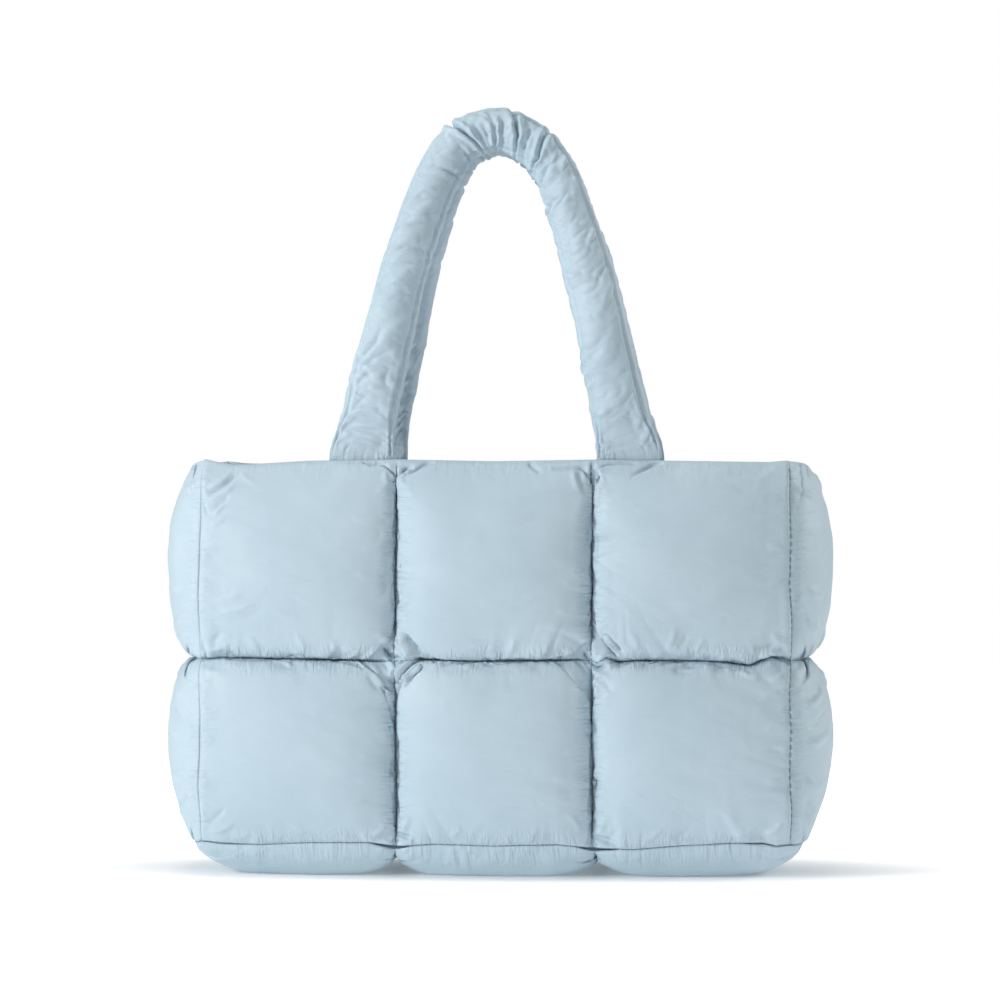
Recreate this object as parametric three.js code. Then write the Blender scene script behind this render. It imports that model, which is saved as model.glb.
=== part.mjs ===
// A puffer tote bag: two quilted panels, two quilted gussets and a quilted base sewn round an
// open hollow, with two padded tube handles sewn inside the rim.
// Millimetres, +Z up. The front faces -Y, the bag stands on z = 0, and the origin is under its middle.
import * as THREE from "three";

// The bag's body, measured between its seams.
const PANEL_WIDTH = 374;
const BASE_DEPTH = 106;
const BELLY_DEPTH = 114;
const RIM_DEPTH = 100;
const BASE_SEAM_HEIGHT = 23;
const ROW_SEAM_HEIGHT = 140;
const RIM_HEIGHT = 266;
const PANEL_COLUMNS = 3;

// How far the middle of a wall stands out past a straight line between its corner seams.
const PANEL_BOW = 9;
const GUSSET_BOW = 12;
const BASE_SAG = 9;

// The quilting: the cloth's thickness at a seam, and the puffs' height over it on each side.
const SEAM_THICKNESS = 3;
const PANEL_PUFF = 20;
const GUSSET_PUFF = 16;
const BASE_PUFF = 18;
const INNER_PUFF = 7;
const SEAM_GAP = 0.25;

// The bag's corner seams aren't sewn through the filling, so they ride out on it: these are the
// shares of a puff's height that are left at an upright corner and at the base's edge.
const CORNER_LIFT = 0.7;
const BASE_EDGE_LIFT = 0.35;

// The handles: tubes that lie flat where they are sewn in.
const HANDLE_RISE = 217;
const HANDLE_HALF_SPREAD = 86;
const HANDLE_DIAMETER = 29;
const HANDLE_FLAT_WIDTH = 42;
const HANDLE_FLAT_THICKNESS = 4;
const HANDLE_FLAT_SQUARENESS = 0.55;
const HANDLE_FOOT_HEIGHT = 5;
const HANDLE_TAB_LENGTH = 16;
const HANDLE_TAB_CLEARANCE = 0.35;
const HANDLE_SPACING = 0.6;
const HANDLE_SIDES = 14;
const HANDLE_STEPS = 46;

// The slope of each wall at heights given as shares of the way from the base seam to the rim.
// The bows are shares of PANEL_BOW and GUSSET_BOW.
const WALL_SECTIONS = [
  { height: 0.0, panelBow: 0.4, gussetBow: 0.4 },
  { height: 0.25, panelBow: 0.85, gussetBow: 1.0 },
  { height: 0.48, panelBow: 1.0, gussetBow: 0.85 },
  { height: 0.75, panelBow: 0.85, gussetBow: 1.0 },
  { height: 1.0, panelBow: 0.5, gussetBow: 1.0 },
];

// The steps across one puff, as shares of its width, close together beside its seams.
const PUFF_STEPS = [0, 0.03, 0.1, 0.25, 0.5, 0.75, 0.9, 0.97];

// How a puff falls away towards each kind of edge: near is 0 at the edge and 1 at the puff's middle.
const EDGES = {
  quilted: (near) => Math.sqrt(1 - (1 - near) ** 3),
  corner: (near) => 1 - (1 - CORNER_LIFT) * (1 - near) ** 2,
  baseEdge: (near) => 1 - (1 - BASE_EDGE_LIFT) * (1 - near) ** 3,
  rim: (near) => 1 - (1 - near) ** 2.2,
};

// A handle's middle line from its left foot to its right foot: across is a share of
// HANDLE_HALF_SPREAD, rise of HANDLE_RISE, and lean of the way from the rim to the bag's middle.
// flat is 1 where it is sewn flat and 0 where it is a round tube, and size scales the whole.
const HANDLE_SECTIONS = [
  { across: -1.0, rise: 0.0, lean: 0.0, flat: 1.0, size: 1.0 },
  { across: -0.97, rise: 0.07, lean: 0.0, flat: 0.7, size: 1.0 },
  { across: -0.903, rise: 0.195, lean: 0.02, flat: 0.34, size: 1.04 },
  { across: -0.79, rise: 0.39, lean: 0.12, flat: 0.06, size: 1.04 },
  { across: -0.695, rise: 0.555, lean: 0.28, flat: 0.0, size: 1.0 },
  { across: -0.585, rise: 0.71, lean: 0.52, flat: 0.0, size: 0.98 },
  { across: -0.45, rise: 0.855, lean: 0.8, flat: 0.0, size: 0.98 },
  { across: -0.29, rise: 0.955, lean: 0.97, flat: 0.0, size: 0.96 },
  { across: -0.03, rise: 1.0, lean: 1.0, flat: 0.0, size: 0.95 },
  { across: 0.23, rise: 0.962, lean: 0.97, flat: 0.0, size: 0.93 },
  { across: 0.425, rise: 0.87, lean: 0.8, flat: 0.0, size: 0.92 },
  { across: 0.56, rise: 0.73, lean: 0.52, flat: 0.0, size: 0.95 },
  { across: 0.69, rise: 0.555, lean: 0.28, flat: 0.0, size: 1.06 },
  { across: 0.798, rise: 0.375, lean: 0.12, flat: 0.05, size: 1.06 },
  { across: 0.892, rise: 0.185, lean: 0.02, flat: 0.3, size: 1.06 },
  { across: 0.962, rise: 0.07, lean: 0.0, flat: 0.7, size: 1.0 },
  { across: 1.0, rise: 0.0, lean: 0.0, flat: 1.0, size: 1.0 },
];

// The creases on the inner side of a handle's bend: along is a share of the middle line's
// length, and pinch is how much of the width they take away.
const HANDLE_CREASES = [
  { along: 0.44, pinch: 0.16 },
  { along: 0.535, pinch: 0.16 },
  { along: 0.575, pinch: 0.1 },
];
const CREASE_HALF_WIDTH = 0.011;

const shell = new THREE.MeshStandardMaterial({ color: 0xb9d0dc, roughness: 0.55, metalness: 0 });
const strap = new THREE.MeshStandardMaterial({ color: 0xb4ccd8, roughness: 0.55, metalness: 0 });

const mix = THREE.MathUtils.lerp;
// 1 in the middle of a wall and 0 at its corner seams, for a share of the way across it.
const arch = (share) => 1 - (2 * share - 1) ** 2;

// A column of a table at some place in its key column, on a smooth curve through the rows.
function between(table, key, place, column) {
  const last = table.length - 1;
  const passed = table.filter((section) => section[key] < place).length;
  const row = THREE.MathUtils.clamp(passed, 1, last);
  const value = (index) => table[THREE.MathUtils.clamp(index, 0, last)][column];
  const share = (place - table[row - 1][key]) / (table[row][key] - table[row - 1][key]);
  const points = [row - 2, row - 1, row, row + 1].map(value);
  const rising = (points[2] - points[0]) / 2;
  const leaving = (points[3] - points[1]) / 2;
  return (
    (2 * share ** 3 - 3 * share ** 2 + 1) * points[1] + (share ** 3 - 2 * share ** 2 + share) * rising +
    (3 * share ** 2 - 2 * share ** 3) * points[2] + (share ** 3 - share ** 2) * leaving
  );
}

const heightShare = (z) => (z - BASE_SEAM_HEIGHT) / (RIM_HEIGHT - BASE_SEAM_HEIGHT);

// How far the front panel's corner seams lie from the bag's middle, at height z.
function halfDepth(z) {
  return z < ROW_SEAM_HEIGHT
    ? THREE.MathUtils.mapLinear(z, BASE_SEAM_HEIGHT, ROW_SEAM_HEIGHT, BASE_DEPTH, BELLY_DEPTH) / 2
    : THREE.MathUtils.mapLinear(z, ROW_SEAM_HEIGHT, RIM_HEIGHT, BELLY_DEPTH, RIM_DEPTH) / 2;
}

function panelDistance(across, z) {
  return halfDepth(z) + PANEL_BOW * between(WALL_SECTIONS, "height", heightShare(z), "panelBow") * arch(across);
}

function gussetDistance(across, z) {
  const bow = between(WALL_SECTIONS, "height", heightShare(z), "gussetBow");
  return PANEL_WIDTH / 2 + GUSSET_BOW * bow * arch(across);
}

// The height of a puff outside the bag, at a share of the way from its first edge to its last.
function outerCrown(share, first, last) {
  return share < 0.5 ? EDGES[first](2 * share) : EDGES[last](2 - 2 * share);
}

// The places across a wall where its surface is worked out: at is a length along it, and outer
// and inner say how high a puff is there. edges names the kind of each seam.
function stations(seams, edges) {
  const puffs = seams.slice(1).flatMap((seam, cell) =>
    PUFF_STEPS.map((share) => ({
      at: mix(seams[cell], seam, share),
      outer: outerCrown(share, edges[cell], edges[cell + 1]),
      inner: arch(share),
    })),
  );
  const end = seams.length - 1;
  return [...puffs, { at: seams[end], outer: outerCrown(1, edges[end - 1], edges[end]), inner: 0 }];
}

function evenSeams(from, to, count) {
  return Array.from({ length: count + 1 }, (_, index) => mix(from, to, index / count));
}

// A closed solid between two grids of points that share their rows and columns.
function solidBetween(outer, inner) {
  const rows = outer.length;
  const columns = outer[0].length;
  const points = [...outer.flat(), ...inner.flat()];
  const index = [];
  const outerAt = (row, column) => row * columns + column;
  const innerAt = (row, column) => rows * columns + outerAt(row, column);
  const quad = (a, b, c, d) => index.push(a, b, c, a, c, d);
  for (let row = 0; row < rows - 1; row++) {
    for (let column = 0; column < columns - 1; column++) {
      quad(outerAt(row, column), outerAt(row, column + 1), outerAt(row + 1, column + 1), outerAt(row + 1, column));
      quad(innerAt(row, column), innerAt(row + 1, column), innerAt(row + 1, column + 1), innerAt(row, column + 1));
    }
  }
  // The strips that join the grids are split the same way round on every wall, so that two
  // walls that meet along a corner lie flat on each other.
  const strip = (from, to, rising) => {
    const [a, b, c, d] = [innerAt(...from), innerAt(...to), outerAt(...to), outerAt(...from)];
    if (rising) index.push(a, b, c, a, c, d);
    else index.push(a, b, d, b, c, d);
  };
  for (let column = 0; column < columns - 1; column++) {
    strip([0, column], [0, column + 1], true);
    strip([rows - 1, column + 1], [rows - 1, column], false);
  }
  for (let row = 0; row < rows - 1; row++) {
    strip([row, columns - 1], [row + 1, columns - 1], true);
    strip([row + 1, 0], [row, 0], false);
  }
  return closedSolid(points, index);
}

// A geometry whose faces point outwards, whichever way round its points were given.
function closedSolid(points, index) {
  let volume = 0;
  for (let corner = 0; corner < index.length; corner += 3) {
    const [a, b, c] = index.slice(corner, corner + 3).map((place) => points[place]);
    volume += a.dot(new THREE.Vector3().crossVectors(b, c));
  }
  const facing = volume < 0 ? [...index].reverse() : index;
  const geometry = new THREE.BufferGeometry().setFromPoints(points);
  geometry.setIndex(facing);
  geometry.computeVertexNormals();
  return geometry;
}

function named(name, geometry, material) {
  const mesh = new THREE.Mesh(geometry, material);
  mesh.name = name;
  return mesh;
}

const UP = new THREE.Vector3(0, 0, 1);
const RIGHT = new THREE.Vector3(1, 0, 0);
const BACK = new THREE.Vector3(0, 1, 0);
const HALF_SEAM = SEAM_THICKNESS / 2;
const columnEdges = (outside) =>
  evenSeams(0, 1, PANEL_COLUMNS).map((share) => (share === 0 || share === 1 ? outside : "quilted"));
const rowSeams = [BASE_SEAM_HEIGHT + SEAM_GAP, ROW_SEAM_HEIGHT, RIM_HEIGHT];
const ROWS = stations(rowSeams, ["baseEdge", "quilted", "rim"]);
const PANEL_ACROSS = stations(evenSeams(-1, 1, PANEL_COLUMNS), columnEdges("corner"));
const BASE_ACROSS = stations(evenSeams(-1, 1, PANEL_COLUMNS), columnEdges("quilted"));
const GUSSET_ACROSS = stations([-1, 1], ["quilted", "quilted"]);

// How far a wall's surface stands out from its middle surface: outside the bag on side 1, and
// inside it on side -1.
const standOut = (side, puff, column, row) =>
  side * (HALF_SEAM + (side > 0 ? puff * column.outer * row.outer : INNER_PUFF * column.inner * row.inner));

// The cloth is mitred at the corners: a wall is longer outside the bag, and shorter inside it.
const heightOf = (row, side) => (row === ROWS[0] ? row.at - side * HALF_SEAM : row.at);
const onEnd = (place) => Math.abs(place.at) === 1;

// side is -1 for the front panel and 1 for the back one.
function panel(name, side) {
  const grid = (skin) =>
    ROWS.map((row) =>
      PANEL_ACROSS.map((column) => {
        const x = column.at * (PANEL_WIDTH / 2 - SEAM_GAP);
        const distance = panelDistance((column.at + 1) / 2, row.at) + standOut(skin, PANEL_PUFF, column, row);
        const mitre = onEnd(column) ? skin * HALF_SEAM * column.at : 0;
        return new THREE.Vector3(x + mitre, side * distance, heightOf(row, skin));
      }),
    );
  return named(name, solidBetween(grid(1), grid(-1)), shell);
}

// side is -1 for the left gusset and 1 for the right one. Its outer cloth reaches out to the
// lifted corner seams.
function gusset(name, side) {
  const grid = (skin) =>
    ROWS.map((row) =>
      GUSSET_ACROSS.map((column) => {
        const reach = halfDepth(row.at) - SEAM_GAP;
        const corner = standOut(skin, PANEL_PUFF, PANEL_ACROSS[0], row);
        const distance = gussetDistance((column.at + 1) / 2, row.at) + standOut(skin, GUSSET_PUFF, column, row);
        const y = skin > 0 ? column.at * (reach + corner) : column.at * reach + (onEnd(column) ? column.at * corner : 0);
        return new THREE.Vector3(side * distance, y, heightOf(row, skin));
      }),
    );
  return named(name, solidBetween(grid(1), grid(-1)), shell);
}

// The base hangs between the four walls' lower seams and is pressed flat where it stands.
function base(name) {
  const grid = (skin) =>
    GUSSET_ACROSS.map((row) =>
      BASE_ACROSS.map((column, index) => {
        const [across, along] = [(column.at + 1) / 2, (row.at + 1) / 2];
        const end = gussetDistance(along, BASE_SEAM_HEIGHT) - SEAM_GAP;
        const edge = panelDistance(across, BASE_SEAM_HEIGHT) - SEAM_GAP;
        const endOut = standOut(skin, GUSSET_PUFF, row, ROWS[0]);
        const edgeOut = standOut(skin, PANEL_PUFF, PANEL_ACROSS[index], ROWS[0]);
        const sag = BASE_SAG * Math.sqrt(arch(across) * arch(along));
        const z = BASE_SEAM_HEIGHT - sag - standOut(skin, BASE_PUFF, column, row);
        return new THREE.Vector3(
          column.at * end + (skin > 0 || onEnd(column) ? column.at * endOut : 0),
          row.at * edge + (skin > 0 || onEnd(row) ? row.at * edgeOut : 0),
          skin > 0 ? Math.max(0, z) : z,
        );
      }),
    );
  return named(name, solidBetween(grid(1), grid(-1)), shell);
}

// The distance of a panel's inner face from the bag's middle, under a handle's tab.
function innerFace(x, z) {
  const low = Math.min(z, RIM_HEIGHT);
  const cell = (0.5 + x / (PANEL_WIDTH - 2 * SEAM_GAP)) * PANEL_COLUMNS;
  const across = arch(cell - Math.floor(cell));
  const up = arch((low - ROW_SEAM_HEIGHT) / (RIM_HEIGHT - ROW_SEAM_HEIGHT));
  return panelDistance(0.5 + x / PANEL_WIDTH, low) - SEAM_THICKNESS / 2 - INNER_PUFF * across * up;
}

// How much of a handle's width its creases take away.
function pinchAt(share) {
  const depth = ({ along, pinch }) => pinch * Math.exp(-(((share - along) / CREASE_HALF_WIDTH) ** 2));
  return HANDLE_CREASES.reduce((taken, crease) => taken + depth(crease), 0);
}

// The places along a handle's tube, as shares of its length: even steps, closer in its creases.
function tubePlaces() {
  const even = Array.from({ length: HANDLE_STEPS }, (_, step) => (step + 1) / (HANDLE_STEPS + 1));
  const creases = HANDLE_CREASES.flatMap(({ along }) =>
    [-1, 0, 1].map((step) => along + step * CREASE_HALF_WIDTH),
  );
  const clear = even.filter((share) =>
    creases.every((crease) => Math.abs(share - crease) > CREASE_HALF_WIDTH / 2),
  );
  return [...clear, ...creases].sort((a, b) => a - b);
}

// A ring of points round a handle: an ellipse, or nearly a rectangle at a low squareness.
function ring(centre, wide, deep, width, depth, squareness) {
  const bulge = (value) => Math.sign(value) * Math.abs(value) ** squareness;
  return Array.from({ length: HANDLE_SIDES }, (_, corner) => {
    const angle = (2 * Math.PI * corner) / HANDLE_SIDES;
    return centre.clone()
      .addScaledVector(wide, (bulge(Math.cos(angle)) * width) / 2)
      .addScaledVector(deep, (bulge(Math.sin(angle)) * depth) / 2);
  });
}

// The rings of a handle's tab, which lies flat along the panel's inner face, from its end up to
// where the tube starts. foot is -1 on the left and 1 on the right.
function tabRings(side, foot) {
  const heights = [-HANDLE_TAB_LENGTH, -HANDLE_TAB_LENGTH / 2, 0, HANDLE_FOOT_HEIGHT];
  return heights.map((height) => {
    const z = RIM_HEIGHT + height;
    const centre = new THREE.Vector3(foot * HANDLE_HALF_SPREAD, 0, z);
    const wide = RIGHT.clone().multiplyScalar(-foot);
    const flat = ring(centre, wide, BACK, HANDLE_FLAT_WIDTH, HANDLE_FLAT_THICKNESS, HANDLE_FLAT_SQUARENESS);
    return flat.map((point) => point.setY(point.y + side * tabDistance(point.x, z)));
  });
}

const tabDistance = (x, z) => innerFace(x, z) - HANDLE_TAB_CLEARANCE - HANDLE_FLAT_THICKNESS / 2;

// The rings of a handle's tube. side is -1 for the front handle and 1 for the back one.
function tubeRings(side) {
  const footDistance = tabDistance(HANDLE_HALF_SPREAD, RIM_HEIGHT);
  const topDistance = (HANDLE_DIAMETER + HANDLE_SPACING) / 2;
  const footHeight = RIM_HEIGHT + HANDLE_FOOT_HEIGHT;
  const line = new THREE.CatmullRomCurve3(
    HANDLE_SECTIONS.map(({ across, rise, lean }) => new THREE.Vector3(
      across * HANDLE_HALF_SPREAD,
      side * mix(footDistance, topDistance, lean),
      mix(footHeight, RIM_HEIGHT + HANDLE_RISE, rise),
    )),
  );
  const swelling = new THREE.CatmullRomCurve3(
    HANDLE_SECTIONS.map(({ flat, size }) => new THREE.Vector3(flat, size, 0)),
  );
  return tubePlaces().map((share) => {
    const at = line.getUtoTmapping(share);
    const tangent = line.getTangent(at);
    const deep = BACK.clone().addScaledVector(tangent, -tangent.y).normalize();
    const wide = new THREE.Vector3().crossVectors(deep, tangent).normalize();
    const { x: flat, y: size } = swelling.getPoint(at);
    const width = mix(HANDLE_DIAMETER, HANDLE_FLAT_WIDTH, flat) * size;
    const depth = mix(HANDLE_DIAMETER, HANDLE_FLAT_THICKNESS, flat) * size;
    const taken = width * pinchAt(share);
    const centre = line.getPoint(at).addScaledVector(wide, -taken / 2);
    return ring(centre, wide, deep, width - taken, depth, mix(1, HANDLE_FLAT_SQUARENESS, flat));
  });
}

function handle(name, side) {
  const rings = [...tabRings(side, -1), ...tubeRings(side), ...tabRings(side, 1).reverse()];
  const index = [];
  const pointAt = (place, corner) => place * HANDLE_SIDES + (corner % HANDLE_SIDES);
  const last = rings.length - 1;
  for (let place = 0; place < last; place++) {
    for (let corner = 0; corner < HANDLE_SIDES; corner++) {
      const [a, b] = [pointAt(place, corner), pointAt(place, corner + 1)];
      const [c, d] = [pointAt(place + 1, corner + 1), pointAt(place + 1, corner)];
      index.push(a, b, c, a, c, d);
    }
  }
  for (let corner = 1; corner < HANDLE_SIDES - 1; corner++) {
    index.push(pointAt(0, 0), pointAt(0, corner + 1), pointAt(0, corner));
    index.push(pointAt(last, 0), pointAt(last, corner), pointAt(last, corner + 1));
  }
  return named(name, closedSolid(rings.flat(), index), strap);
}

const tote = new THREE.Group();
tote.add(
  panel("front_panel", -1),
  panel("back_panel", 1),
  gusset("left_gusset", -1),
  gusset("right_gusset", 1),
  base("base_panel"),
  handle("front_handle", -1),
  handle("back_handle", 1),
);

export default tote;
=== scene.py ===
"""A puffer tote bag: quilted nylon walls and stuffed tube handles, as simulated cloth.

Lengths are in millimetres until a mesh is made. The front faces -Y and the bag stands on z = 0.
"""
import math

import bpy
import numpy as np
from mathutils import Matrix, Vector


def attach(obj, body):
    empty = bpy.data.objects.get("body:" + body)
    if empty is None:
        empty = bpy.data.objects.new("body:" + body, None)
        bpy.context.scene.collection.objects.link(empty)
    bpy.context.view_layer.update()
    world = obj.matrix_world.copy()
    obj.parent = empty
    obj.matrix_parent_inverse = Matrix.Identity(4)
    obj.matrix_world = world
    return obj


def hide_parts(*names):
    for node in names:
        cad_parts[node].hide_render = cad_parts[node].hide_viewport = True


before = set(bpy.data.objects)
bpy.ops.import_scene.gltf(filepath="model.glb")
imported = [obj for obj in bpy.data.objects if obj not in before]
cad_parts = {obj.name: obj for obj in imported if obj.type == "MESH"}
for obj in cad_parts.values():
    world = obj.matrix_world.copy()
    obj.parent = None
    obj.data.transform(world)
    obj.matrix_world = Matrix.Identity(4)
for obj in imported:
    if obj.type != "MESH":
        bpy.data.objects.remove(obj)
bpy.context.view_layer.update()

# Sizes of the walls, as in the solids
PANEL_WIDTH = 374.0
BASE_DEPTH = 106.0
BELLY_DEPTH = 114.0
RIM_DEPTH = 100.0
BASE_SEAM_HEIGHT = 23.0
ROW_SEAM_HEIGHT = 140.0
RIM_HEIGHT = 266.0
PANEL_BOW = 9.0
GUSSET_BOW = 12.0
BASE_SAG = 9.0
HALF_SEAM = 1.5
PANEL_PUFF = 20.0
GUSSET_PUFF = 16.0
BASE_PUFF = 18.0
INNER_PUFF = 7.0
SEAM_GAP = 0.25
CORNER_LIFT = 0.7
BASE_EDGE_LIFT = 0.35

# Sizes of the handles, as in the solids
HANDLE_RISE = 217.0
HANDLE_HALF_SPREAD = 86.0
HANDLE_DIAMETER = 29.0
FLAT_WIDTH = 42.0
FLAT_THICKNESS = 4.0
FLAT_SQUARENESS = 0.55
FOOT_HEIGHT = 5.0
TAB_LENGTH = 16.0
TAB_CLEARANCE = 0.35
HANDLE_SPACING = 0.6

# height share, panel bow share, gusset bow share
WALL_SECTIONS = np.array([
    (0.0, 0.4, 0.4),
    (0.25, 0.85, 1.0),
    (0.48, 1.0, 0.85),
    (0.75, 0.85, 1.0),
    (1.0, 0.5, 1.0),
])

# across, rise, lean, flat, size
HANDLE_SECTIONS = np.array([
    (-1.0, 0.0, 0.0, 1.0, 1.0),
    (-0.97, 0.07, 0.0, 0.7, 1.0),
    (-0.903, 0.195, 0.02, 0.34, 1.04),
    (-0.79, 0.39, 0.12, 0.06, 1.04),
    (-0.695, 0.555, 0.28, 0.0, 1.0),
    (-0.585, 0.71, 0.52, 0.0, 0.98),
    (-0.45, 0.855, 0.8, 0.0, 0.98),
    (-0.29, 0.955, 0.97, 0.0, 0.96),
    (-0.03, 1.0, 1.0, 0.0, 0.95),
    (0.23, 0.962, 0.97, 0.0, 0.93),
    (0.425, 0.87, 0.8, 0.0, 0.92),
    (0.56, 0.73, 0.52, 0.0, 0.95),
    (0.69, 0.555, 0.28, 0.0, 1.06),
    (0.798, 0.375, 0.12, 0.05, 1.06),
    (0.892, 0.185, 0.02, 0.3, 1.06),
    (0.962, 0.07, 0.0, 0.7, 1.0),
    (1.0, 0.0, 0.0, 1.0, 1.0),
])


# Curves and forms
def mix(a, b, share):
    return a + (b - a) * share


def arch(share):
    """0 at both ends and 1 in the middle."""
    return 1 - (2 * share - 1) ** 2


def smooth(share):
    """From 0 to 1 with a soft start and a soft end."""
    return share * share * (3 - 2 * share)


def bell(distance, width):
    """1 at no distance, fading to 0 over about twice the width."""
    return np.exp(-(distance / width) ** 2)


def unit(rows):
    return rows / np.linalg.norm(rows, axis=1, keepdims=True)


def spline(p, t):
    """A smooth curve from p[1] to p[2], given the points before and after them."""
    return 0.5 * (2 * p[1] + (p[2] - p[0]) * t + (2 * p[0] - 5 * p[1] + 4 * p[2] - p[3]) * t ** 2
                  + (3 * p[1] - p[0] - 3 * p[2] + p[3]) * t ** 3)


def catmull(rows, count):
    """count places on a smooth curve through the rows."""
    last = len(rows) - 1
    place = np.linspace(0, last, count)
    low = np.minimum(place.astype(int), last - 1)
    return spline([rows[np.clip(low + step, 0, last)] for step in (-1, 0, 1, 2)], (place - low)[:, None])


def between(table, column, place):
    """A column of a table at some place in its first column, on a smooth curve."""
    keys, last = table[:, 0], len(table) - 1
    row = np.clip(np.searchsorted(keys, place), 1, last)
    share = (place - keys[row - 1]) / (keys[row] - keys[row - 1])
    p = [table[np.clip(row + step, 0, last), column] for step in (-2, -1, 0, 1)]
    s2, s3 = share ** 2, share ** 3
    return ((2 * s3 - 3 * s2 + 1) * p[1] + (s3 - 2 * s2 + share) * (p[2] - p[0]) / 2
            + (3 * s2 - 2 * s3) * p[2] + (s3 - s2) * (p[3] - p[1]) / 2)


def height_share(z):
    return (z - BASE_SEAM_HEIGHT) / (RIM_HEIGHT - BASE_SEAM_HEIGHT)


def half_depth(z):
    return np.interp(z, (BASE_SEAM_HEIGHT, ROW_SEAM_HEIGHT, RIM_HEIGHT),
                     (BASE_DEPTH / 2, BELLY_DEPTH / 2, RIM_DEPTH / 2))


def panel_distance(across, z):
    return half_depth(z) + PANEL_BOW * between(WALL_SECTIONS, 1, height_share(z)) * arch(across)


def gusset_distance(across, z):
    return PANEL_WIDTH / 2 + GUSSET_BOW * between(WALL_SECTIONS, 2, height_share(z)) * arch(across)


def fall(kind, near):
    """How a puff falls away towards an edge: near is 0 at the edge and 1 in the middle."""
    away = 1 - np.clip(near, 0, 1)
    if kind in ("quilted", "side"):
        return np.sqrt(np.maximum(0, 1 - away ** 2.6))
    if kind == "corner":
        return 1 - (1 - CORNER_LIFT) * away ** 2
    if kind == "base":
        return 1 - (1 - BASE_EDGE_LIFT) * away ** 3
    if kind == "inner":
        return 1 - away ** 2
    return 1 - away ** 2.2


def crown_over(kinds, seams, place):
    """How far a line of puffs stands out at some place along it, from 0 to 1."""
    seams = np.asarray(seams, float)
    cell = np.clip(np.searchsorted(seams, place) - 1, 0, len(seams) - 2)
    share = np.clip((place - seams[cell]) / (seams[cell + 1] - seams[cell]), 0, 1)
    rising = np.choose(cell, [fall(kind, 2 * share) for kind in kinds[:-1]])
    falling = np.choose(cell, [fall(kind, 2 - 2 * share) for kind in kinds[1:]])
    return np.where(share < 0.5, rising, falling)


# Soft random values
def stretched(grid, shape, end=1, curve=np.positive):
    """A grid read at evenly spaced places, from its first line up to end less than its size."""
    lines = []
    for axis in (0, 1):
        place = np.linspace(0, grid.shape[axis] - end, shape[axis])
        low = np.minimum(place.astype(int), grid.shape[axis] - 2)
        lines += [low, curve(place - low)]
    r, row_share, c, column_share = lines
    row_share = row_share.reshape((-1, 1) + (1,) * (grid.ndim - 2))
    column_share = column_share.reshape((1, -1) + (1,) * (grid.ndim - 2))
    return mix(mix(grid[r][:, c], grid[r][:, c + 1], column_share),
               mix(grid[r + 1][:, c], grid[r + 1][:, c + 1], column_share), row_share)


def smooth_noise(rng, shape, size):
    """Soft random values with about unit spread: a coarse random grid, read smoothly."""
    coarse = rng.normal(size=[max(2, int(round(n / size)) + 2) for n in shape])
    return stretched(coarse, shape, 1.001, smooth)


def noise_at(rng, x, y, size_x, size_y, turns=None):
    """Soft random values at any places: a coarse random grid, read smoothly. With turns, y is a
    share of a turn and goes round in that many cells."""
    u = x / size_x
    u = u - u.min()
    v = np.mod(y, 1.0) * turns if turns else y / size_y
    if not turns:
        v = v - v.min()
    coarse = rng.normal(size=(int(u.max()) + 3, int(v.max()) + 3))[:, :turns]
    ui, vi = u.astype(int), v.astype(int) % coarse.shape[1]
    vj = (vi + 1) % coarse.shape[1]
    uf, vf = (t ** 3 * (t * (6 * t - 15) + 10) for t in (u - np.floor(u), v - np.floor(v)))
    return mix(mix(coarse[ui, vi], coarse[ui + 1, vi], uf), mix(coarse[ui, vj], coarse[ui + 1, vj], uf), vf)


# Folds. The gathers: wavelength along the seam, how far they run from it, their height.
GATHERS = [(3.8, 7.0, 0.55), (6.5, 11.0, 0.72), (12.0, 19.0, 0.7)]
GATHERS_START = 1.9
FOLD_STRENGTH = {"quilted": 1.0, "corner": 0.5, "base": 0.8, "rim": 0.5, "inner": 0.5, "side": 0.55}
# The gathers are calmer along a puff's upper edge.
CALM = 0.5


def gather_folds(rng, along, away, strength=1.0):
    """Folds that run away from a seam: rounded tops and sharp valleys, in uneven patches.
    along is the place along the seam, away the distance from it."""
    total = np.zeros(along.shape)
    for wave, reach, height in GATHERS:
        fan = along + away * 0.35 * noise_at(rng, along, away, 26, 400)
        value = noise_at(rng, fan, away, wave, 6 * reach)
        patch = np.clip(0.55 + 0.6 * noise_at(rng, along, away, 22, 900), 0.05, 1.6)
        total += height * patch * (np.abs(value) - 0.75) * np.exp(-(away / (reach * patch)) ** 1.3)
    return strength * total * (1 - bell(away, GATHERS_START))


def crease_height(a, b, creases):
    """Single folds: each runs from one place to another, a ridge or (below 0) a valley."""
    total = np.zeros(a.shape)
    for a0, b0, a1, b1, width, height in creases:
        reach = np.hypot(a1 - a0, b1 - b0)
        along = ((a - a0) * (a1 - a0) + (b - b0) * (b1 - b0)) / reach
        bend = 0.08 * reach * np.sin(np.pi * np.clip(along / reach, 0, 1))
        apart = ((a - a0) * (b1 - b0) - (b - b0) * (a1 - a0)) / reach - bend
        taper = np.clip(along / (0.3 * reach), 0, 1) * np.clip((reach - along) / (0.4 * reach), 0, 1)
        total += height * smooth(taper) * bell(apart, width)
    return total


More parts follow.
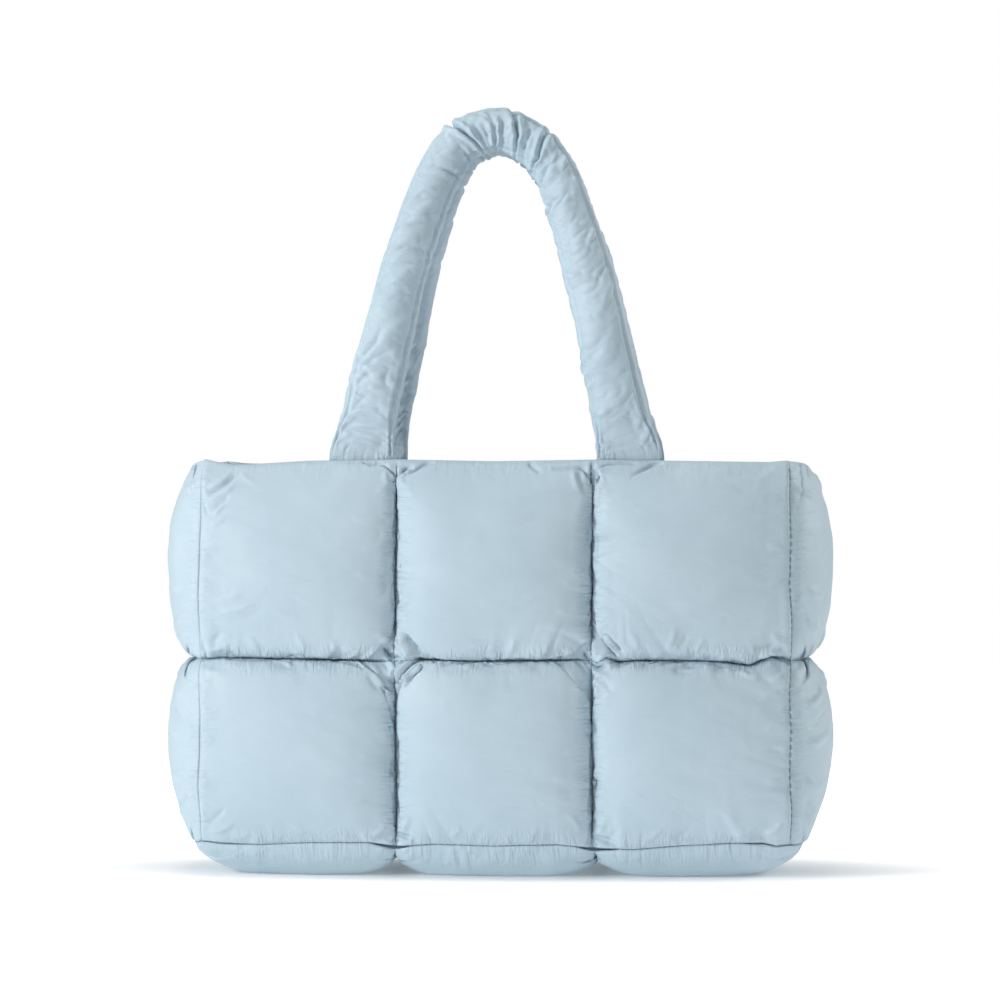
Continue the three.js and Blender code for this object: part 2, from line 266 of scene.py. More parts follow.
# The cloth solver
def links_of(shape, across, along, wrap=False, shear=0.35, bend=0.2):
    """Distance links of a cloth grid in groups that share no point: across and along are the
    rest lengths of the grid's edges. With wrap, the last column is next to the first."""
    index = np.arange(shape[0] * shape[1]).reshape(shape)
    groups = []

    def left(values, step=1):
        return values if wrap else values[:, :-step]

    def right(values, step=1):
        return np.roll(values, -step, 1) if wrap else values[:, step:]

    def add(first, second, length, stiffness, axis, block=1):
        colour = np.indices(first.shape)[axis] // block % 2
        for value in (0, 1):
            chosen = colour == value
            groups.append((first[chosen], second[chosen], length[chosen][:, None], stiffness))

    add(left(index), right(index), across, 1.0, 1)
    add(index[:-1], index[1:], along, 1.0, 0)
    slant = np.hypot((across[:-1] + across[1:]) / 2, (left(along) + right(along)) / 2)
    add(left(index)[:-1], right(index)[1:], slant, shear, 0)
    add(right(index)[:-1], left(index)[1:], slant, shear, 0)
    add(left(index, 2), right(index, 2), left(across) + right(across), bend, 1, 2)
    add(index[:-2], index[2:], along[:-1] + along[1:], bend, 0, 2)
    return groups


def settle(points, free, links, steps, push, limit, damping=0.92):
    """Lets cloth come to rest: it keeps its lengths, is pushed by its filling and stays in its
    limits. points is (n, 3) and free is 1 where a point may move."""
    points = points.copy()
    before = points.copy()
    free = free[:, None]
    plans = [(a, b, length, k, free[a] / np.maximum(free[a] + free[b], 1e-9),
              free[b] / np.maximum(free[a] + free[b], 1e-9)) for a, b, length, k in links]
    for _ in range(steps):
        speed = (points - before) * damping
        before = points.copy()
        points += (speed + push(points)) * free
        for a, b, length, stiffness, share_a, share_b in plans:
            gap = points[b] - points[a]
            size = np.sqrt(np.einsum("ij,ij->i", gap, gap))[:, None]
            gap *= stiffness * (1 - length / np.maximum(size, 1e-6))
            points[a] += gap * share_a
            points[b] -= gap * share_b
        limit(points)
    return points


def grid_normals(grid, wrap=False):
    u = np.roll(grid, -1, 1) - np.roll(grid, 1, 1) if wrap else np.gradient(grid, axis=1)
    n = np.cross(u, np.gradient(grid, axis=0))
    return n / np.maximum(np.linalg.norm(n, axis=2, keepdims=True), 1e-9)


def refine(values, axis, puffs, old, new):
    """Reads a grid's puffs finer along one axis, smoothly inside each and sharp at its seams."""
    grid = np.moveaxis(values, axis, 0)
    place = np.linspace(0, old, new + 1)
    low = np.minimum(place.astype(int), old - 1)
    t = (place - low).reshape((-1,) + (1,) * (grid.ndim - 1))
    parts = []
    for puff in range(puffs):
        block = grid[puff * old:(puff + 1) * old + 1]
        block = np.concatenate([2 * block[:1] - block[1:2], block, 2 * block[-1:] - block[-2:-1]])
        part = spline([block[low + step] for step in range(4)], t)
        parts.append(part if puff == puffs - 1 else part[:-1])
    return np.moveaxis(np.concatenate(parts), 0, axis)


# A quilted wall. Grid steps over each puff (across, up) and the solver's rounds, from coarse to
# fine: every how many grid lines, and how many steps.
COARSE = (60, 60)
FINE = (114, 114)
LINING = (57, 57)
LEVELS = ((4, 110), (2, 90), (1, 90))
LINING_LEVELS = ((4, 60), (2, 40), (1, 20))

# How far the cloth of a puff fills its corners, from a plain product of crowns to the lower one.
CORNER_FILL = 0.5
CORNER_SOFTNESS = 0.12
# How high up neighbouring puffs of the front and back touch over upright and level seams.
TUCK = (0.05, 0.25)
TUCK_WIDTH = 0.6
TUCK_FROM_EDGE = 18.0
# How far the stitched lines wander, and how strongly the filling pushes.
SWAY = 0.9
FILL_PUSH = 0.035
# How far the settling cloth stays inside its puff's edges, may stand over the crowned form and
# may sink below it, the last as a share and a length.
EDGE_MARGIN = 0.12
RISE = 1.3
SINK = (0.93, 1.5)
# Where another wall goes on, the cloth may spill over the seam: by this share of its height, less
# a little, up to a limit, while it settles and when its folds are pressed in.
SPILL = 0.3
SETTLING_SPILL = (0.12, 1.8)
PRESSED_MARGIN = 0.06
PRESSED_SPILL = (0.1, 2.2)
# Beside such a seam the cloth follows the crowned form: how far from it, and how loose it stays.
SHARED_WIDTH = 26.0
SHARED_LOOSE = 0.12
CROWN_SAMPLES = 201


class Wall:
    """A quilted wall's cloth in its own flat frame: a across, b up, h out of the wall.

    kinds, reach and seams are pairs, for a and for b: what each edge of the puffs is, how far the
    wall reaches at (a, b), and where the edges are, as shares of that reach. gather is how much
    each line of cloth is cut to the longest one's length, and slack what it is longer still."""

    def __init__(self, kinds, reach, seams, puff, fine, seed, gather=0.2, slack=0.003, fold=0.35,
                 top=None, creases=(), knots=(), tuck=None):
        self.kinds, self.reach, self.seams = kinds, reach, [np.array(line, float) for line in seams]
        self.puff, self.fine, self.rng = puff, fine, np.random.default_rng(seed)
        self.gather, self.slack, self.fold = gather, slack, fold
        self.top, self.creases, self.knots, self.tuck = top, creases, knots, tuck
        samples = np.linspace(0, 1, CROWN_SAMPLES)
        self.tables = [
            np.array([np.where(samples < 0.5, fall(low, 2 * samples), fall(high, 2 - 2 * samples))
                      for low, high in zip(line, line[1:])])
            for line in kinds]

    def layout(self, steps):
        """For a grid of so many steps over each puff: each point's puff, its share of the way
        over it, and whether it is on a seam, each for a and for b."""
        lines = []
        for seams, count in zip(self.seams, steps):
            line = np.arange((len(seams) - 1) * count + 1)
            cell = np.minimum(line // count, len(seams) - 2)
            lines.append((cell, (line - cell * count) / count, line % count == 0))
        return [np.meshgrid(*pair) for pair in zip(*lines)]

    def edges(self, a, b, cells):
        """The puffs' edges at some places: lower and upper along a, then along b."""
        edges = []
        for seams, cell, reach in zip(self.seams, cells, self.reach):
            whole = reach(a, b)
            edges += [seams[cell] * whole, seams[cell + 1] * whole]
        return edges

    def target(self, a, b, cells):
        """The height of the crowned form at some places, and the puffs' edges there."""
        edges = self.edges(a, b, cells)
        if self.tuck:
            up = self.seams[1]
            inside = np.minimum(self.reach[0](a, b) - np.abs(a), np.minimum(b - up[0], up[-1] - b))
            inside = np.clip(inside / TUCK_FROM_EDGE, 0, 1)
        crowns = []
        for axis, place in enumerate((a, b)):
            low, high = edges[2 * axis:2 * axis + 2]
            at = np.clip((place - low) / (high - low), 0, 1) * (CROWN_SAMPLES - 1.001)
            step = at.astype(int)
            table, cell = self.tables[axis], cells[axis]
            crown = mix(table[cell, step], table[cell, step + 1], at - step)
            if self.tuck:
                near = np.minimum(place - low, high - place).clip(0)
                crown += (1 - crown) * self.tuck[axis] * inside * (1 - np.exp(-near / TUCK_WIDTH))
            crowns.append(crown)
        over, up = crowns
        round_off = CORNER_SOFTNESS * (1 - over * up)
        lower = np.maximum((over + up - np.sqrt((over - up) ** 2 + round_off)) / 2, 0)
        height = self.puff * mix(over * up, lower, CORNER_FILL)
        return height if self.top is None else np.minimum(height, self.top(a, b)), edges

    def room(self, edges, cells, spill, margin):
        """The range in a and the range in b that the cloth of each puff may take."""
        for axis, (kinds, cell) in enumerate(zip(self.kinds, cells)):
            open_side, low, high = kinds[0] == "side", edges[2 * axis], edges[2 * axis + 1]
            yield (low - np.where(open_side & (cell == 0), spill, -margin),
                   high + np.where(open_side & (cell == len(kinds) - 2), spill, -margin))

    def spread(self, shares, cells):
        """The crowned surface at each grid point's share of its puff."""
        u, v = (mix(seams[cell], seams[cell + 1], share)
                for seams, cell, share in zip(self.seams, cells, shares))
        a, b = u * self.reach[0](0 * u, v), v * self.reach[1](u, 0 * v)
        for _ in range(3):
            a, b = u * self.reach[0](a, b), v * self.reach[1](a, b)
        return np.stack([a, b, self.target(a, b, cells)[0]], 2)

    def even_out(self, surface, shares, axis):
        """Slides the grid lines so that their steps over each puff's surface become even."""
        steps = COARSE[1 - axis]
        share = np.moveaxis(shares[1 - axis], axis, 1)
        length = np.moveaxis(np.linalg.norm(np.diff(surface, axis=axis), axis=2), axis, 1)
        even = np.linspace(0, 1, steps + 1)
        for first in range(0, length.shape[1], steps):
            run = np.insert(length[:, first:first + steps].cumsum(1), 0, 0, 1)
            was = share[:, first:first + steps + 1].copy()
            was[:, -1] = 1
            for line, total in enumerate(run):
                share[line, first:first + steps] = np.interp(even, total / total[-1], was[line])[:-1]

    def flat_lengths(self, surface, axis, block):
        """Each line of cloth in a puff is nearly as long as the longest one there."""
        steps = COARSE[1 - axis]
        length = np.linalg.norm(np.diff(surface, axis=axis), axis=2)
        parts = []
        for part in np.split(length, length.shape[axis] // steps, axis):
            own = part.sum(axis)
            longest = np.array([own[block == value].max() for value in block])
            whole = mix(own, longest, self.gather) * (1 + self.slack)
            parts.append(np.repeat(np.expand_dims(whole / steps, axis), steps, axis))
        return np.concatenate(parts, axis)

    def sew(self, levels):
        """The settled cloth as a grid of points."""
        rng = self.rng
        cells, shares, on_seam = self.layout(COARSE)
        seam = on_seam[0] | on_seam[1]
        surface = self.spread(shares, cells)
        for axis in (1, 0) * 3:
            self.even_out(surface, shares, axis)
            surface = self.spread(shares, cells)
        across = self.flat_lengths(surface, 1, cells[1][:, 0])
        along = self.flat_lengths(surface, 0, cells[0][0])
        across = across * (1 + 0.02 * smooth_noise(rng, across.shape, 9))
        along = along * (1 + 0.02 * smooth_noise(rng, along.shape, 9))

        # The stitched lines wander a little.
        inside = np.zeros(seam.shape)
        inside[1:-1, 1:-1] = 1
        pinned = surface.copy()
        pinned[..., 0] += 0.5 * SWAY * smooth_noise(rng, seam.shape, 14) * inside * on_seam[0]
        pinned[..., 1] += SWAY * smooth_noise(rng, seam.shape, 14) * inside * on_seam[1]

        folds = self.folds(surface, cells, 1.0)
        cloth = None
        for stride, steps in levels:
            pick = (slice(None, None, stride),) * 2
            fixed, shape = seam[pick], seam[pick].shape
            if cloth is None:
                start, rough, folded = surface[pick].copy(), 0.2, 1.0
            else:
                start, rough, folded = stretched(cloth, shape), 0.08, 0.4
            start[..., 2] += (rough * smooth_noise(rng, shape, 2) + folded * folds[pick]) * ~fixed
            start[fixed] = pinned[pick][fixed]
            wide = across[::stride].reshape(shape[0], -1, stride).sum(2)
            tall = along[:, ::stride].reshape(-1, stride, shape[1]).sum(1)
            cloth = self.settled(start, fixed, links_of(shape, wide, tall), steps,
                                 [cell[pick].ravel() for cell in cells])
        cloth = mix(surface, cloth, self.loose(surface, cells)[..., None])
        flat = np.stack([np.insert(across.cumsum(1), 0, 0, 1), np.insert(along.cumsum(0), 0, 0, 0)], 2)
        return self.pressed(np.concatenate([cloth, flat], 2))

    def settled(self, start, fixed, links, steps, cells):
        free = (~fixed).astype(float).ravel()

        def limit(points):
            goal, edges = self.target(points[:, 0], points[:, 1], cells)
            spill = np.clip(SPILL * points[:, 2] - SETTLING_SPILL[0], -EDGE_MARGIN, SETTLING_SPILL[1])
            for axis, (low, high) in enumerate(self.room(edges, cells, spill, EDGE_MARGIN)):
                points[:, axis] = np.where(free, np.clip(points[:, axis], low, high), points[:, axis])
            high = goal + RISE
            if self.top is not None:
                high = np.minimum(high, self.top(points[:, 0], points[:, 1]))
            low = np.minimum(np.maximum(goal * SINK[0] - SINK[1], 0), high)
            points[:, 2] = np.where(free, np.clip(points[:, 2], low, high), points[:, 2])

        def shove(points):
            return FILL_PUSH * grid_normals(points.reshape(start.shape)).reshape(-1, 3)

        return settle(start.reshape(-1, 3), free, links, steps, shove, limit).reshape(start.shape)

    def loose(self, grid, cells):
        """1 where the cloth keeps its own shape, less beside a seam shared with another wall."""
        edges = self.edges(grid[..., 0], grid[..., 1], cells)
        away = np.full(cells[0].shape, SHARED_WIDTH)
        for axis, kinds in enumerate(self.kinds):
            if kinds[0] == "side":
                place, cell = grid[..., axis], cells[axis]
                away = np.where(cell == 0, np.minimum(away, place - edges[2 * axis]), away)
                last = cell == len(kinds) - 2
                away = np.where(last, np.minimum(away, edges[2 * axis + 1] - place), away)
        return SHARED_LOOSE + (1 - SHARED_LOOSE) * smooth(np.clip(away / SHARED_WIDTH, 0, 1))

    def folds(self, grid, cells, strength):
        """The gathers along every seam of every puff, as heights at the grid's points."""
        place = grid[..., 0], grid[..., 1]
        edges = self.edges(*place, cells)
        total = np.zeros(place[0].shape)
        for axis, other in ((0, 1), (1, 0)):
            to_end = np.minimum(place[other] - edges[2 * other], edges[2 * other + 1] - place[other])
            for end, way, share in ((0, 1, 1), (1, -1, CALM if axis else 1)):
                away = np.maximum(way * (place[axis] - edges[2 * axis + end]), 0)
                for value in np.unique(cells[axis]):
                    kind = FOLD_STRENGTH[self.kinds[axis][value + end]]
                    folds = gather_folds(self.rng, place[other], away, strength * kind * share)
                    total += folds * (cells[axis] == value) * np.clip(to_end / 7, 0, 1)
        return total

    def seam_places(self, a, b, cells):
        """Each point's place along the nearest seam, its distance from it and how strongly the
        seam gathers the cloth there."""
        lo_a, hi_a, lo_b, hi_b = self.edges(a, b, cells)
        away = np.stack([a - lo_a, hi_a - a, b - lo_b, hi_b - b])
        nearest = away.argmin(0)
        along = np.where(nearest < 2, b, a) + 61.0 * nearest + 233.0 * cells[0] + 379.0 * cells[1]
        order = np.sort(away, 0)
        firm = np.clip((order[1] - order[0] - 1) / 7, 0, 1)
        over, up = (np.array([FOLD_STRENGTH[kind] for kind in kinds]) for kinds in self.kinds)
        kind = np.choose(nearest, [over[cells[0]], over[cells[0] + 1],
                                   up[cells[1]], CALM * up[cells[1] + 1]])
        return np.stack([along, np.maximum(order[0], 0), 1000 * firm * kind], 2)

    def pressed(self, grid):
        """Reads the cloth finer and presses its small folds and ripples into it."""
        for axis in (1, 0):
            grid = refine(grid, axis, len(self.seams[1 - axis]) - 1, COARSE[1 - axis], self.fine[1 - axis])
        cells, _, on_seam = self.layout(self.fine)
        local, self.cloth = grid[..., :3].copy(), grid[..., 3:]
        a, b, flat_a, flat_b = grid[..., 0], grid[..., 1], grid[..., 3], grid[..., 4]
        height = self.folds(local, cells, self.fold)
        height += self.fold * (
            0.22 * noise_at(self.rng, flat_a + 0.4 * flat_b, flat_b, 30, 13)
            + 0.10 * noise_at(self.rng, flat_a - 0.5 * flat_b, flat_b, 14, 6)
            - 0.10 * np.abs(noise_at(self.rng, flat_a, flat_b + 0.3 * flat_a, 17, 8)))
        self.seam = self.seam_places(a, b, cells)
        creases = crease_height(a, b, self.creases)
        moved = local + grid_normals(local) * (height + creases)[..., None]
        knot = np.zeros(a.shape)
        for x, z, radius, rise in self.knots:
            knot += rise * np.exp(-(((a - x) / radius) ** 2 + ((b - z) / radius) ** 2) ** 1.5)
        knot += np.where(knot > 0.3, 0.9 * creases, 0)
        edges = self.edges(moved[..., 0], moved[..., 1], cells)
        spill = np.clip(SPILL * moved[..., 2] - PRESSED_SPILL[0], -PRESSED_MARGIN, PRESSED_SPILL[1])
        for axis, (low, high) in enumerate(self.room(edges, cells, spill, PRESSED_MARGIN)):
            moved[..., axis] = np.clip(moved[..., axis], low, high)
        moved[..., 2] = np.maximum(moved[..., 2], 0)
        if self.top is not None:
            moved[..., 2] = np.minimum(moved[..., 2], self.top(moved[..., 0], moved[..., 1]))
        settled = np.where((on_seam[0] | on_seam[1])[..., None], local, moved)
        settled[..., 2] = np.maximum(settled[..., 2] + knot * np.exp(-settled[..., 2] / 9), 0)
        return settled


# The five walls
PANEL_KINDS = ["corner", "quilted", "quilted", "corner"]
ROW_KINDS = ["base", "quilted", "rim"]
THIRDS = [-1, -1 / 3, 1 / 3, 1]

# The top edge's rise at places along it: front and back along x, the sides at their middle.
RIM_FRONT = ([-190, -182, -168, -120, -62, 0, 62, 120, 175, 190],
             [2.5, 0.5, -2.2, 0.6, 1.4, 0.2, 1.2, 0.4, -0.4, 0.8])
RIM_BACK = ([-190, -175, -110, -62, 0, 62, 130, 178, 190],
            [2.0, 0.0, -1.0, 1.2, -0.4, 1.0, -0.6, 0.2, 1.0])
RIM_SIDE = -1.2

# Where gathered cloth heaps up over a crossing of two seams: x, z, radius, height.
KNOTS = [
    (-58, 145, 7.0, 8.0), (-61, 133, 6.0, 6.5), (66, 144, 6.5, 6.5), (72, 139, 5.5, 5.0),
    (-62.5, 262, 5, 1.5), (63, 262, 5, 1.5), (-62, 26, 5, 2.0), (63, 26, 5, 2.0),
]

# Single folds on the front: from x, z to x, z, half width, height (a valley is below 0).
FRONT_FOLDS = [
    # over the crossing on the left
    (-65, 159, -47, 141, 2.1, 4.2), (-57, 159, -42, 143, 1.25, -4.2), (-47, 142, -64, 126, 2.1, 3.8),
    (-43, 138, -57, 121, 1.25, -3.8), (-72, 151, -54, 138, 1.25, -4.2), (-70, 144, -56, 130, 1.5, 2.4),
    (-76, 137, -65, 121, 1.8, 1.3), (-80, 133, -69, 119, 1.4, -1.0), (-54, 148, -50, 139, 1.3, 1.2),
    (-72, 147, -64, 155, 1.5, 1.1), (-60, 129, -64, 112, 1.4, 1.0),
    # over the crossing on the right
    (60, 156, 80, 141, 2.0, 3.8), (69, 159, 85, 145, 1.25, -4.0), (56, 147, 74, 134, 1.25, -3.8),
    (60, 139, 77, 127, 1.7, 2.6), (64, 134, 68, 117, 1.6, 1.2), (68, 131, 78, 120, 1.6, -1.1),
    (56, 148, 62, 155, 1.5, 1.0), (84, 152, 92, 143, 1.4, 0.9),
    # where the level seam meets the right corner seam
    (168, 142, 184, 147, 1.7, 3.0), (164, 149, 181, 151, 1.5, -1.6), (156, 136, 172, 131, 1.6, 1.6),
    (165, 132, 184, 127, 1.8, -1.0), (174, 127, 186, 133, 1.6, 1.1), (176, 158, 186, 150, 1.6, 0.8),
    # and the left one
    (-184, 146, -168, 150, 1.6, 1.2), (-184, 151, -172, 158, 1.5, -0.9), (-185, 134, -170, 131, 1.6, 1.0),
    # the top left corner
    (-187, 245, -163, 262, 1.15, -2.0), (-185, 248, -168, 264, 1.5, 1.3), (-185, 241, -164, 256, 1.7, 1.1),
    (-187, 248, -183, 231, 1.1, -1.6), (-180, 236, -169, 247, 1.3, -0.8), (-183, 225, -170, 233, 1.5, 0.7),
    (-181, 232, -172, 242, 1.4, 1.0), (-164, 262, -150, 252, 1.5, 0.8),
    # below the top edge at the column seams
    (54, 262, 61, 243, 1.5, -1.4), (50, 262, 57, 246, 1.8, 1.1), (67, 262, 72, 252, 1.5, 1.0),
    (-63, 262, -60, 247, 1.5, 1.2), (-57, 262, -55, 250, 1.4, -1.0), (-70, 261, -67, 250, 1.5, 0.9),
    # long soft ones
    (146, 256, 182, 260, 2.2, 0.6), (150, 250, 184, 252, 2.2, -0.5), (-178, 170, -148, 179, 1.8, 0.6),
    (-174, 165, -142, 175, 1.6, -0.55), (-181, 178, -156, 185, 1.8, 0.5), (-140, 172, -120, 168, 2.0, 0.4),
    (44, 190, 61, 187, 1.8, 0.6), (40, 172, 61, 175, 2.0, 0.6), (36, 66, 61, 72, 2.0, 0.7),
    (40, 58, 62, 62, 1.8, -0.6), (42, 50, 62, 54, 1.8, 0.6), (44, 82, 62, 87, 1.8, 0.5),
    (-86, 82, -66, 78, 1.8, 0.6), (-88, 64, -66, 67, 1.8, 0.6), (-84, 52, -66, 50, 1.8, -0.5),
    (-88, 196, -66, 193, 1.8, 0.6), (-86, 212, -66, 215, 1.6, 0.6), (-92, 232, -66, 229, 1.8, 0.5),
    (110, 147, 116, 163, 1.8, 0.9), (116, 147, 124, 158, 1.6, -0.8), (128, 146, 134, 156, 1.6, 0.7),
    (92, 146, 88, 158, 1.6, 0.7), (-120, 144, -126, 158, 1.7, 0.7), (-100, 144, -104, 155, 1.6, 0.7),
    (-150, 144, -158, 156, 1.7, 0.7), (10, 144, 14, 156, 1.7, 0.7), (30, 144, 38, 154, 1.6, 0.6),
    # above the bottom seam
    (64, 28, 72, 42, 1.8, 1.1), (70, 26, 82, 36, 1.7, -0.9), (-60, 28, -54, 42, 1.8, 1.1),
    (-78, 27, -68, 36, 1.7, 1.1), (-186, 28, -164, 38, 1.8, 1.2), (-185, 34, -170, 48, 1.6, -0.9),
    (-184, 26, -150, 31, 1.6, 0.8), (150, 27, 170, 36, 1.7, 0.9), (172, 27, 184, 40, 1.7, 1.0),
    (96, 26, 108, 35, 1.6, 0.8), (112, 26, 126, 33, 1.6, -0.7), (56, 30, 46, 44, 1.7, 0.9),
    (-28, 26, -20, 37, 1.7, 0.6), (20, 26, 30, 35, 1.7, 0.6), (-120, 26, -130, 36, 1.7, 0.6),
    # down the right corner seam
    (184, 120, 168, 115, 1.8, 0.7), (185, 100, 170, 96, 1.8, 0.7), (185, 82, 172, 84, 1.7, -0.7),
    (185, 64, 171, 62, 1.7, 0.8), (185, 210, 172, 214, 1.7, 0.6), (185, 190, 173, 188, 1.6, 0.5),
]
BACK_FOLDS = [
    (-62, 154, -50, 142, 1.7, 1.6), (-58, 157, -46, 146, 1.5, -1.2), (-74, 136, -65, 122, 1.8, 1.2),
    (56, 155, 66, 142, 1.7, 1.5), (66, 138, 74, 124, 1.6, 1.2), (60, 130, 57, 116, 1.5, -1.0),
    (-184, 232, -166, 256, 1.7, -1.5), (-181, 229, -162, 254, 2.4, 1.2), (178, 258, 160, 250, 1.8, 1.0),
    (170, 30, 184, 42, 1.7, 1.0), (-186, 30, -166, 38, 1.8, 1.0), (-60, 28, -54, 42, 1.8, 1.0),
    (64, 28, 70, 42, 1.8, 1.0), (120, 146, 126, 160, 1.7, 0.8), (-120, 146, -128, 159, 1.7, 0.8),
    (10, 146, 16, 158, 1.7, 0.7), (150, 205, 180, 214, 2.0, 0.5), (-170, 90, -140, 82, 2.0, 0.5),
    (40, 190, 61, 187, 1.8, 0.6), (-88, 64, -66, 67, 1.8, 0.6), (42, 60, 62, 66, 1.8, 0.6),
]
# The same on the sides, from y, z to y, z, before they are made wider and higher.
SIDE_FOLDS = [
    (-62, 112, -38, 124, 2.4, 1.3), (-64, 98, -34, 110, 2.4, -1.1), (-64, 88, -30, 98, 2.8, 1.3),
    (-64, 66, -36, 58, 2.6, 1.1), (-63, 52, -40, 42, 2.4, -1.0), (-60, 44, -36, 34, 2.4, 1.0),
    (-62, 168, -42, 158, 2.2, 1.0), (-62, 186, -40, 182, 2.4, 0.8), (-58, 250, -40, 244, 2.0, 0.9),
    (62, 112, 38, 122, 2.4, 1.1), (62, 92, 34, 98, 2.6, 1.0), (60, 60, 34, 50, 2.4, 0.9),
    (62, 170, 40, 160, 2.2, 0.9), (-20, 144, -24, 160, 2.0, 0.9), (4, 144, 8, 162, 2.0, 0.9),
    (22, 145, 30, 158, 2.0, -0.8), (-8, 134, -12, 118, 2.0, 0.8), (16, 134, 24, 120, 2.0, 0.8),
    (0, 262, -4, 246, 1.8, 0.8), (24, 262, 30, 248, 1.8, 0.8),
]
RIGHT_FOLDS = [(y0, z0, y1, z1, 1.05 * w, 2.2 * h) for y0, z0, y1, z1, w, h in SIDE_FOLDS]
LEFT_FOLDS = [(y0, z0 + 3, y1, z1 + 5, w, 0.6 * h) for y0, z0, y1, z1, w, h in RIGHT_FOLDS[::-1]]

# How the level seam across the puffs rises and falls, front and back.
ROW_FRONT = ([-187, -176, -120, -80, -62, -48, 0, 56, 66, 72, 80, 92, 140, 152, 163, 170, 176, 187],
             [0, 1.0, 0.3, -0.5, -0.9, 0.6, -0.4, 0.2, -1.6, 1.9, -1.2, 0.2, -0.5, -1.6, -3.2, 0.4, 2.6, 0])
ROW_BACK = ([-187, -140, -62, -20, 30, 62, 110, 160, 187], [0, 0.8, 0, -0.9, 0.6, 0, 1.0, -0.7, 0])
# The same for the bottom seams, at the front and back before they are made stronger.
LOW_FRONT = ([-190, -176, -150, -120, -80, -62, -40, 0, 40, 62, 90, 120, 150, 172, 180, 190],
             [1.2, 0.2, -0.4, 0.5, 0.9, -0.8, 0.4, -0.3, 0.5, -1.0, -1.4, 0.4, 1.2, 1.4, 0.2, 1.0])
LOW_BACK = ([-190, -160, -110, -62, -10, 62, 100, 150, 190],
            [0.6, -0.8, 0.6, -0.9, 0.5, -0.8, 0.8, -0.5, 0.8])
LOW_SIDE = ([-60, -25, 20, 60], [1.0, -0.8, 0.7, 0.8])
LOW_STRENGTH = 1.6
# How far the corner seams wander sideways by height, and how far their two edges are pulled together.
CORNER_SWAY = ([20, 45, 70, 95, 120, 140, 165, 190, 215, 240, 266],
               [0.0, 0.7, -0.5, 0.5, -0.9, 0.4, 0.8, -0.5, 0.4, -0.6, 0.0])
CORNER_PULL = 0.2
# How far from a shared seam its wandering reaches.
WANDER_WIDTH = 9.0
# How far past its seams the base's outer cloth still sags and is crowned.
BASE_PAST = 9
# Just inside the last of three puffs, counted from 0.
LAST_PUFF_END = 2.9999


def wander(points):
    """Moves seams that two walls share by the same small amount in both."""
    x, y, z = points[..., 0], points[..., 1], points[..., 2]
    from_corner = np.hypot(np.abs(x) - PANEL_WIDTH / 2 - 1.5, (np.abs(y) - half_depth(z) - 12) / 3)
    turn = np.where(x > 0, 0, 60) + np.where(y > 0, 25, 0)
    low, high = CORNER_SWAY[0][0], CORNER_SWAY[0][-1]
    sideways = np.interp((z - low + turn) % (high - low) + low, *CORNER_SWAY)
    sideways *= np.clip((z - BASE_SEAM_HEIGHT) / 12, 0, 1)
    front, back = (LOW_STRENGTH * np.interp(x, *line) for line in (LOW_FRONT, LOW_BACK))
    on_end = np.clip((np.abs(x) - PANEL_WIDTH / 2 + 2) / 6, 0, 1)
    lift = mix(mix(front, back, np.clip(y / 60 + 0.5, 0, 1)), np.interp(y, *LOW_SIDE), on_end)
    moved = points.copy()
    moved[..., 0] += sideways * bell(from_corner, WANDER_WIDTH)
    # The edges sewn together at a corner nearly touch.
    beside = CORNER_PULL * bell(from_corner, 3) * np.clip((z - BASE_SEAM_HEIGHT) / 6, 0, 1)
    on_panel = np.abs(x) < PANEL_WIDTH / 2 - SEAM_GAP + HALF_SEAM + 0.1
    moved[..., 0] += np.sign(x) * np.where(on_panel, beside, 0)
    moved[..., 1] += np.sign(y) * np.where(on_panel, 0, 0.6 * beside)
    moved[..., 2] += lift * bell(z - BASE_SEAM_HEIGHT, WANDER_WIDTH)
    row = np.where(y < 0, np.interp(x, *ROW_FRONT), np.interp(x, *ROW_BACK))
    moved[..., 2] += row * bell(z - ROW_SEAM_HEIGHT, WANDER_WIDTH)
    return moved


def unscaled(a, b):
    """The reach of a wall whose seams are given as lengths."""
    return 1.0


def row_seams(skin):
    return [BASE_SEAM_HEIGHT + SEAM_GAP - skin * HALF_SEAM, ROW_SEAM_HEIGHT, RIM_HEIGHT]


def rim_wave(x, b, shape):
    """The top edge's rise and fall, fading down the wall."""
    return np.interp(x, *shape) * np.clip((b - 225) / 41, 0, 1) ** 2


def base_shares(skin, a, b):
    """Places on the base as shares from -1 to 1: its outer cloth reaches past the seams."""
    past = BASE_PAST if skin > 0 else 0
    return np.clip(a / (PANEL_WIDTH / 2 + past), -1, 1), np.clip(b / (BASE_DEPTH / 2 + past), -1, 1)


def base_hang(a, b):
    """How far the base's sagging middle surface hangs below its seams."""
    u, v = base_shares(1, a, b)
    return BASE_SAG * np.sqrt(np.maximum(0, (1 - u * u) * (1 - v * v)))


def floor_room(a, b):
    return BASE_SEAM_HEIGHT - HALF_SEAM - base_hang(a, b) - 0.15


def sheet_of(skin, kinds, reach, seams, puff, seed, gather, **details):
    """A wall's outer (skin 1) or inner (skin -1) cloth in its flat frame."""
    if skin > 0:
        wall = Wall(kinds, reach, seams, puff, FINE, seed, gather, slack=0.006, fold=1.0, **details)
        return wall.sew(LEVELS), wall
    plain = [["inner"] * len(line) for line in kinds]
    wall = Wall(plain, reach, seams, INNER_PUFF, LINING, seed + 1)
    local = wall.sew(LINING_LEVELS)
    goal = wall.target(local[..., 0], local[..., 1], wall.layout(LINING)[0])[0]
    local[..., 2] = np.minimum(local[..., 2], goal)
    return local, wall


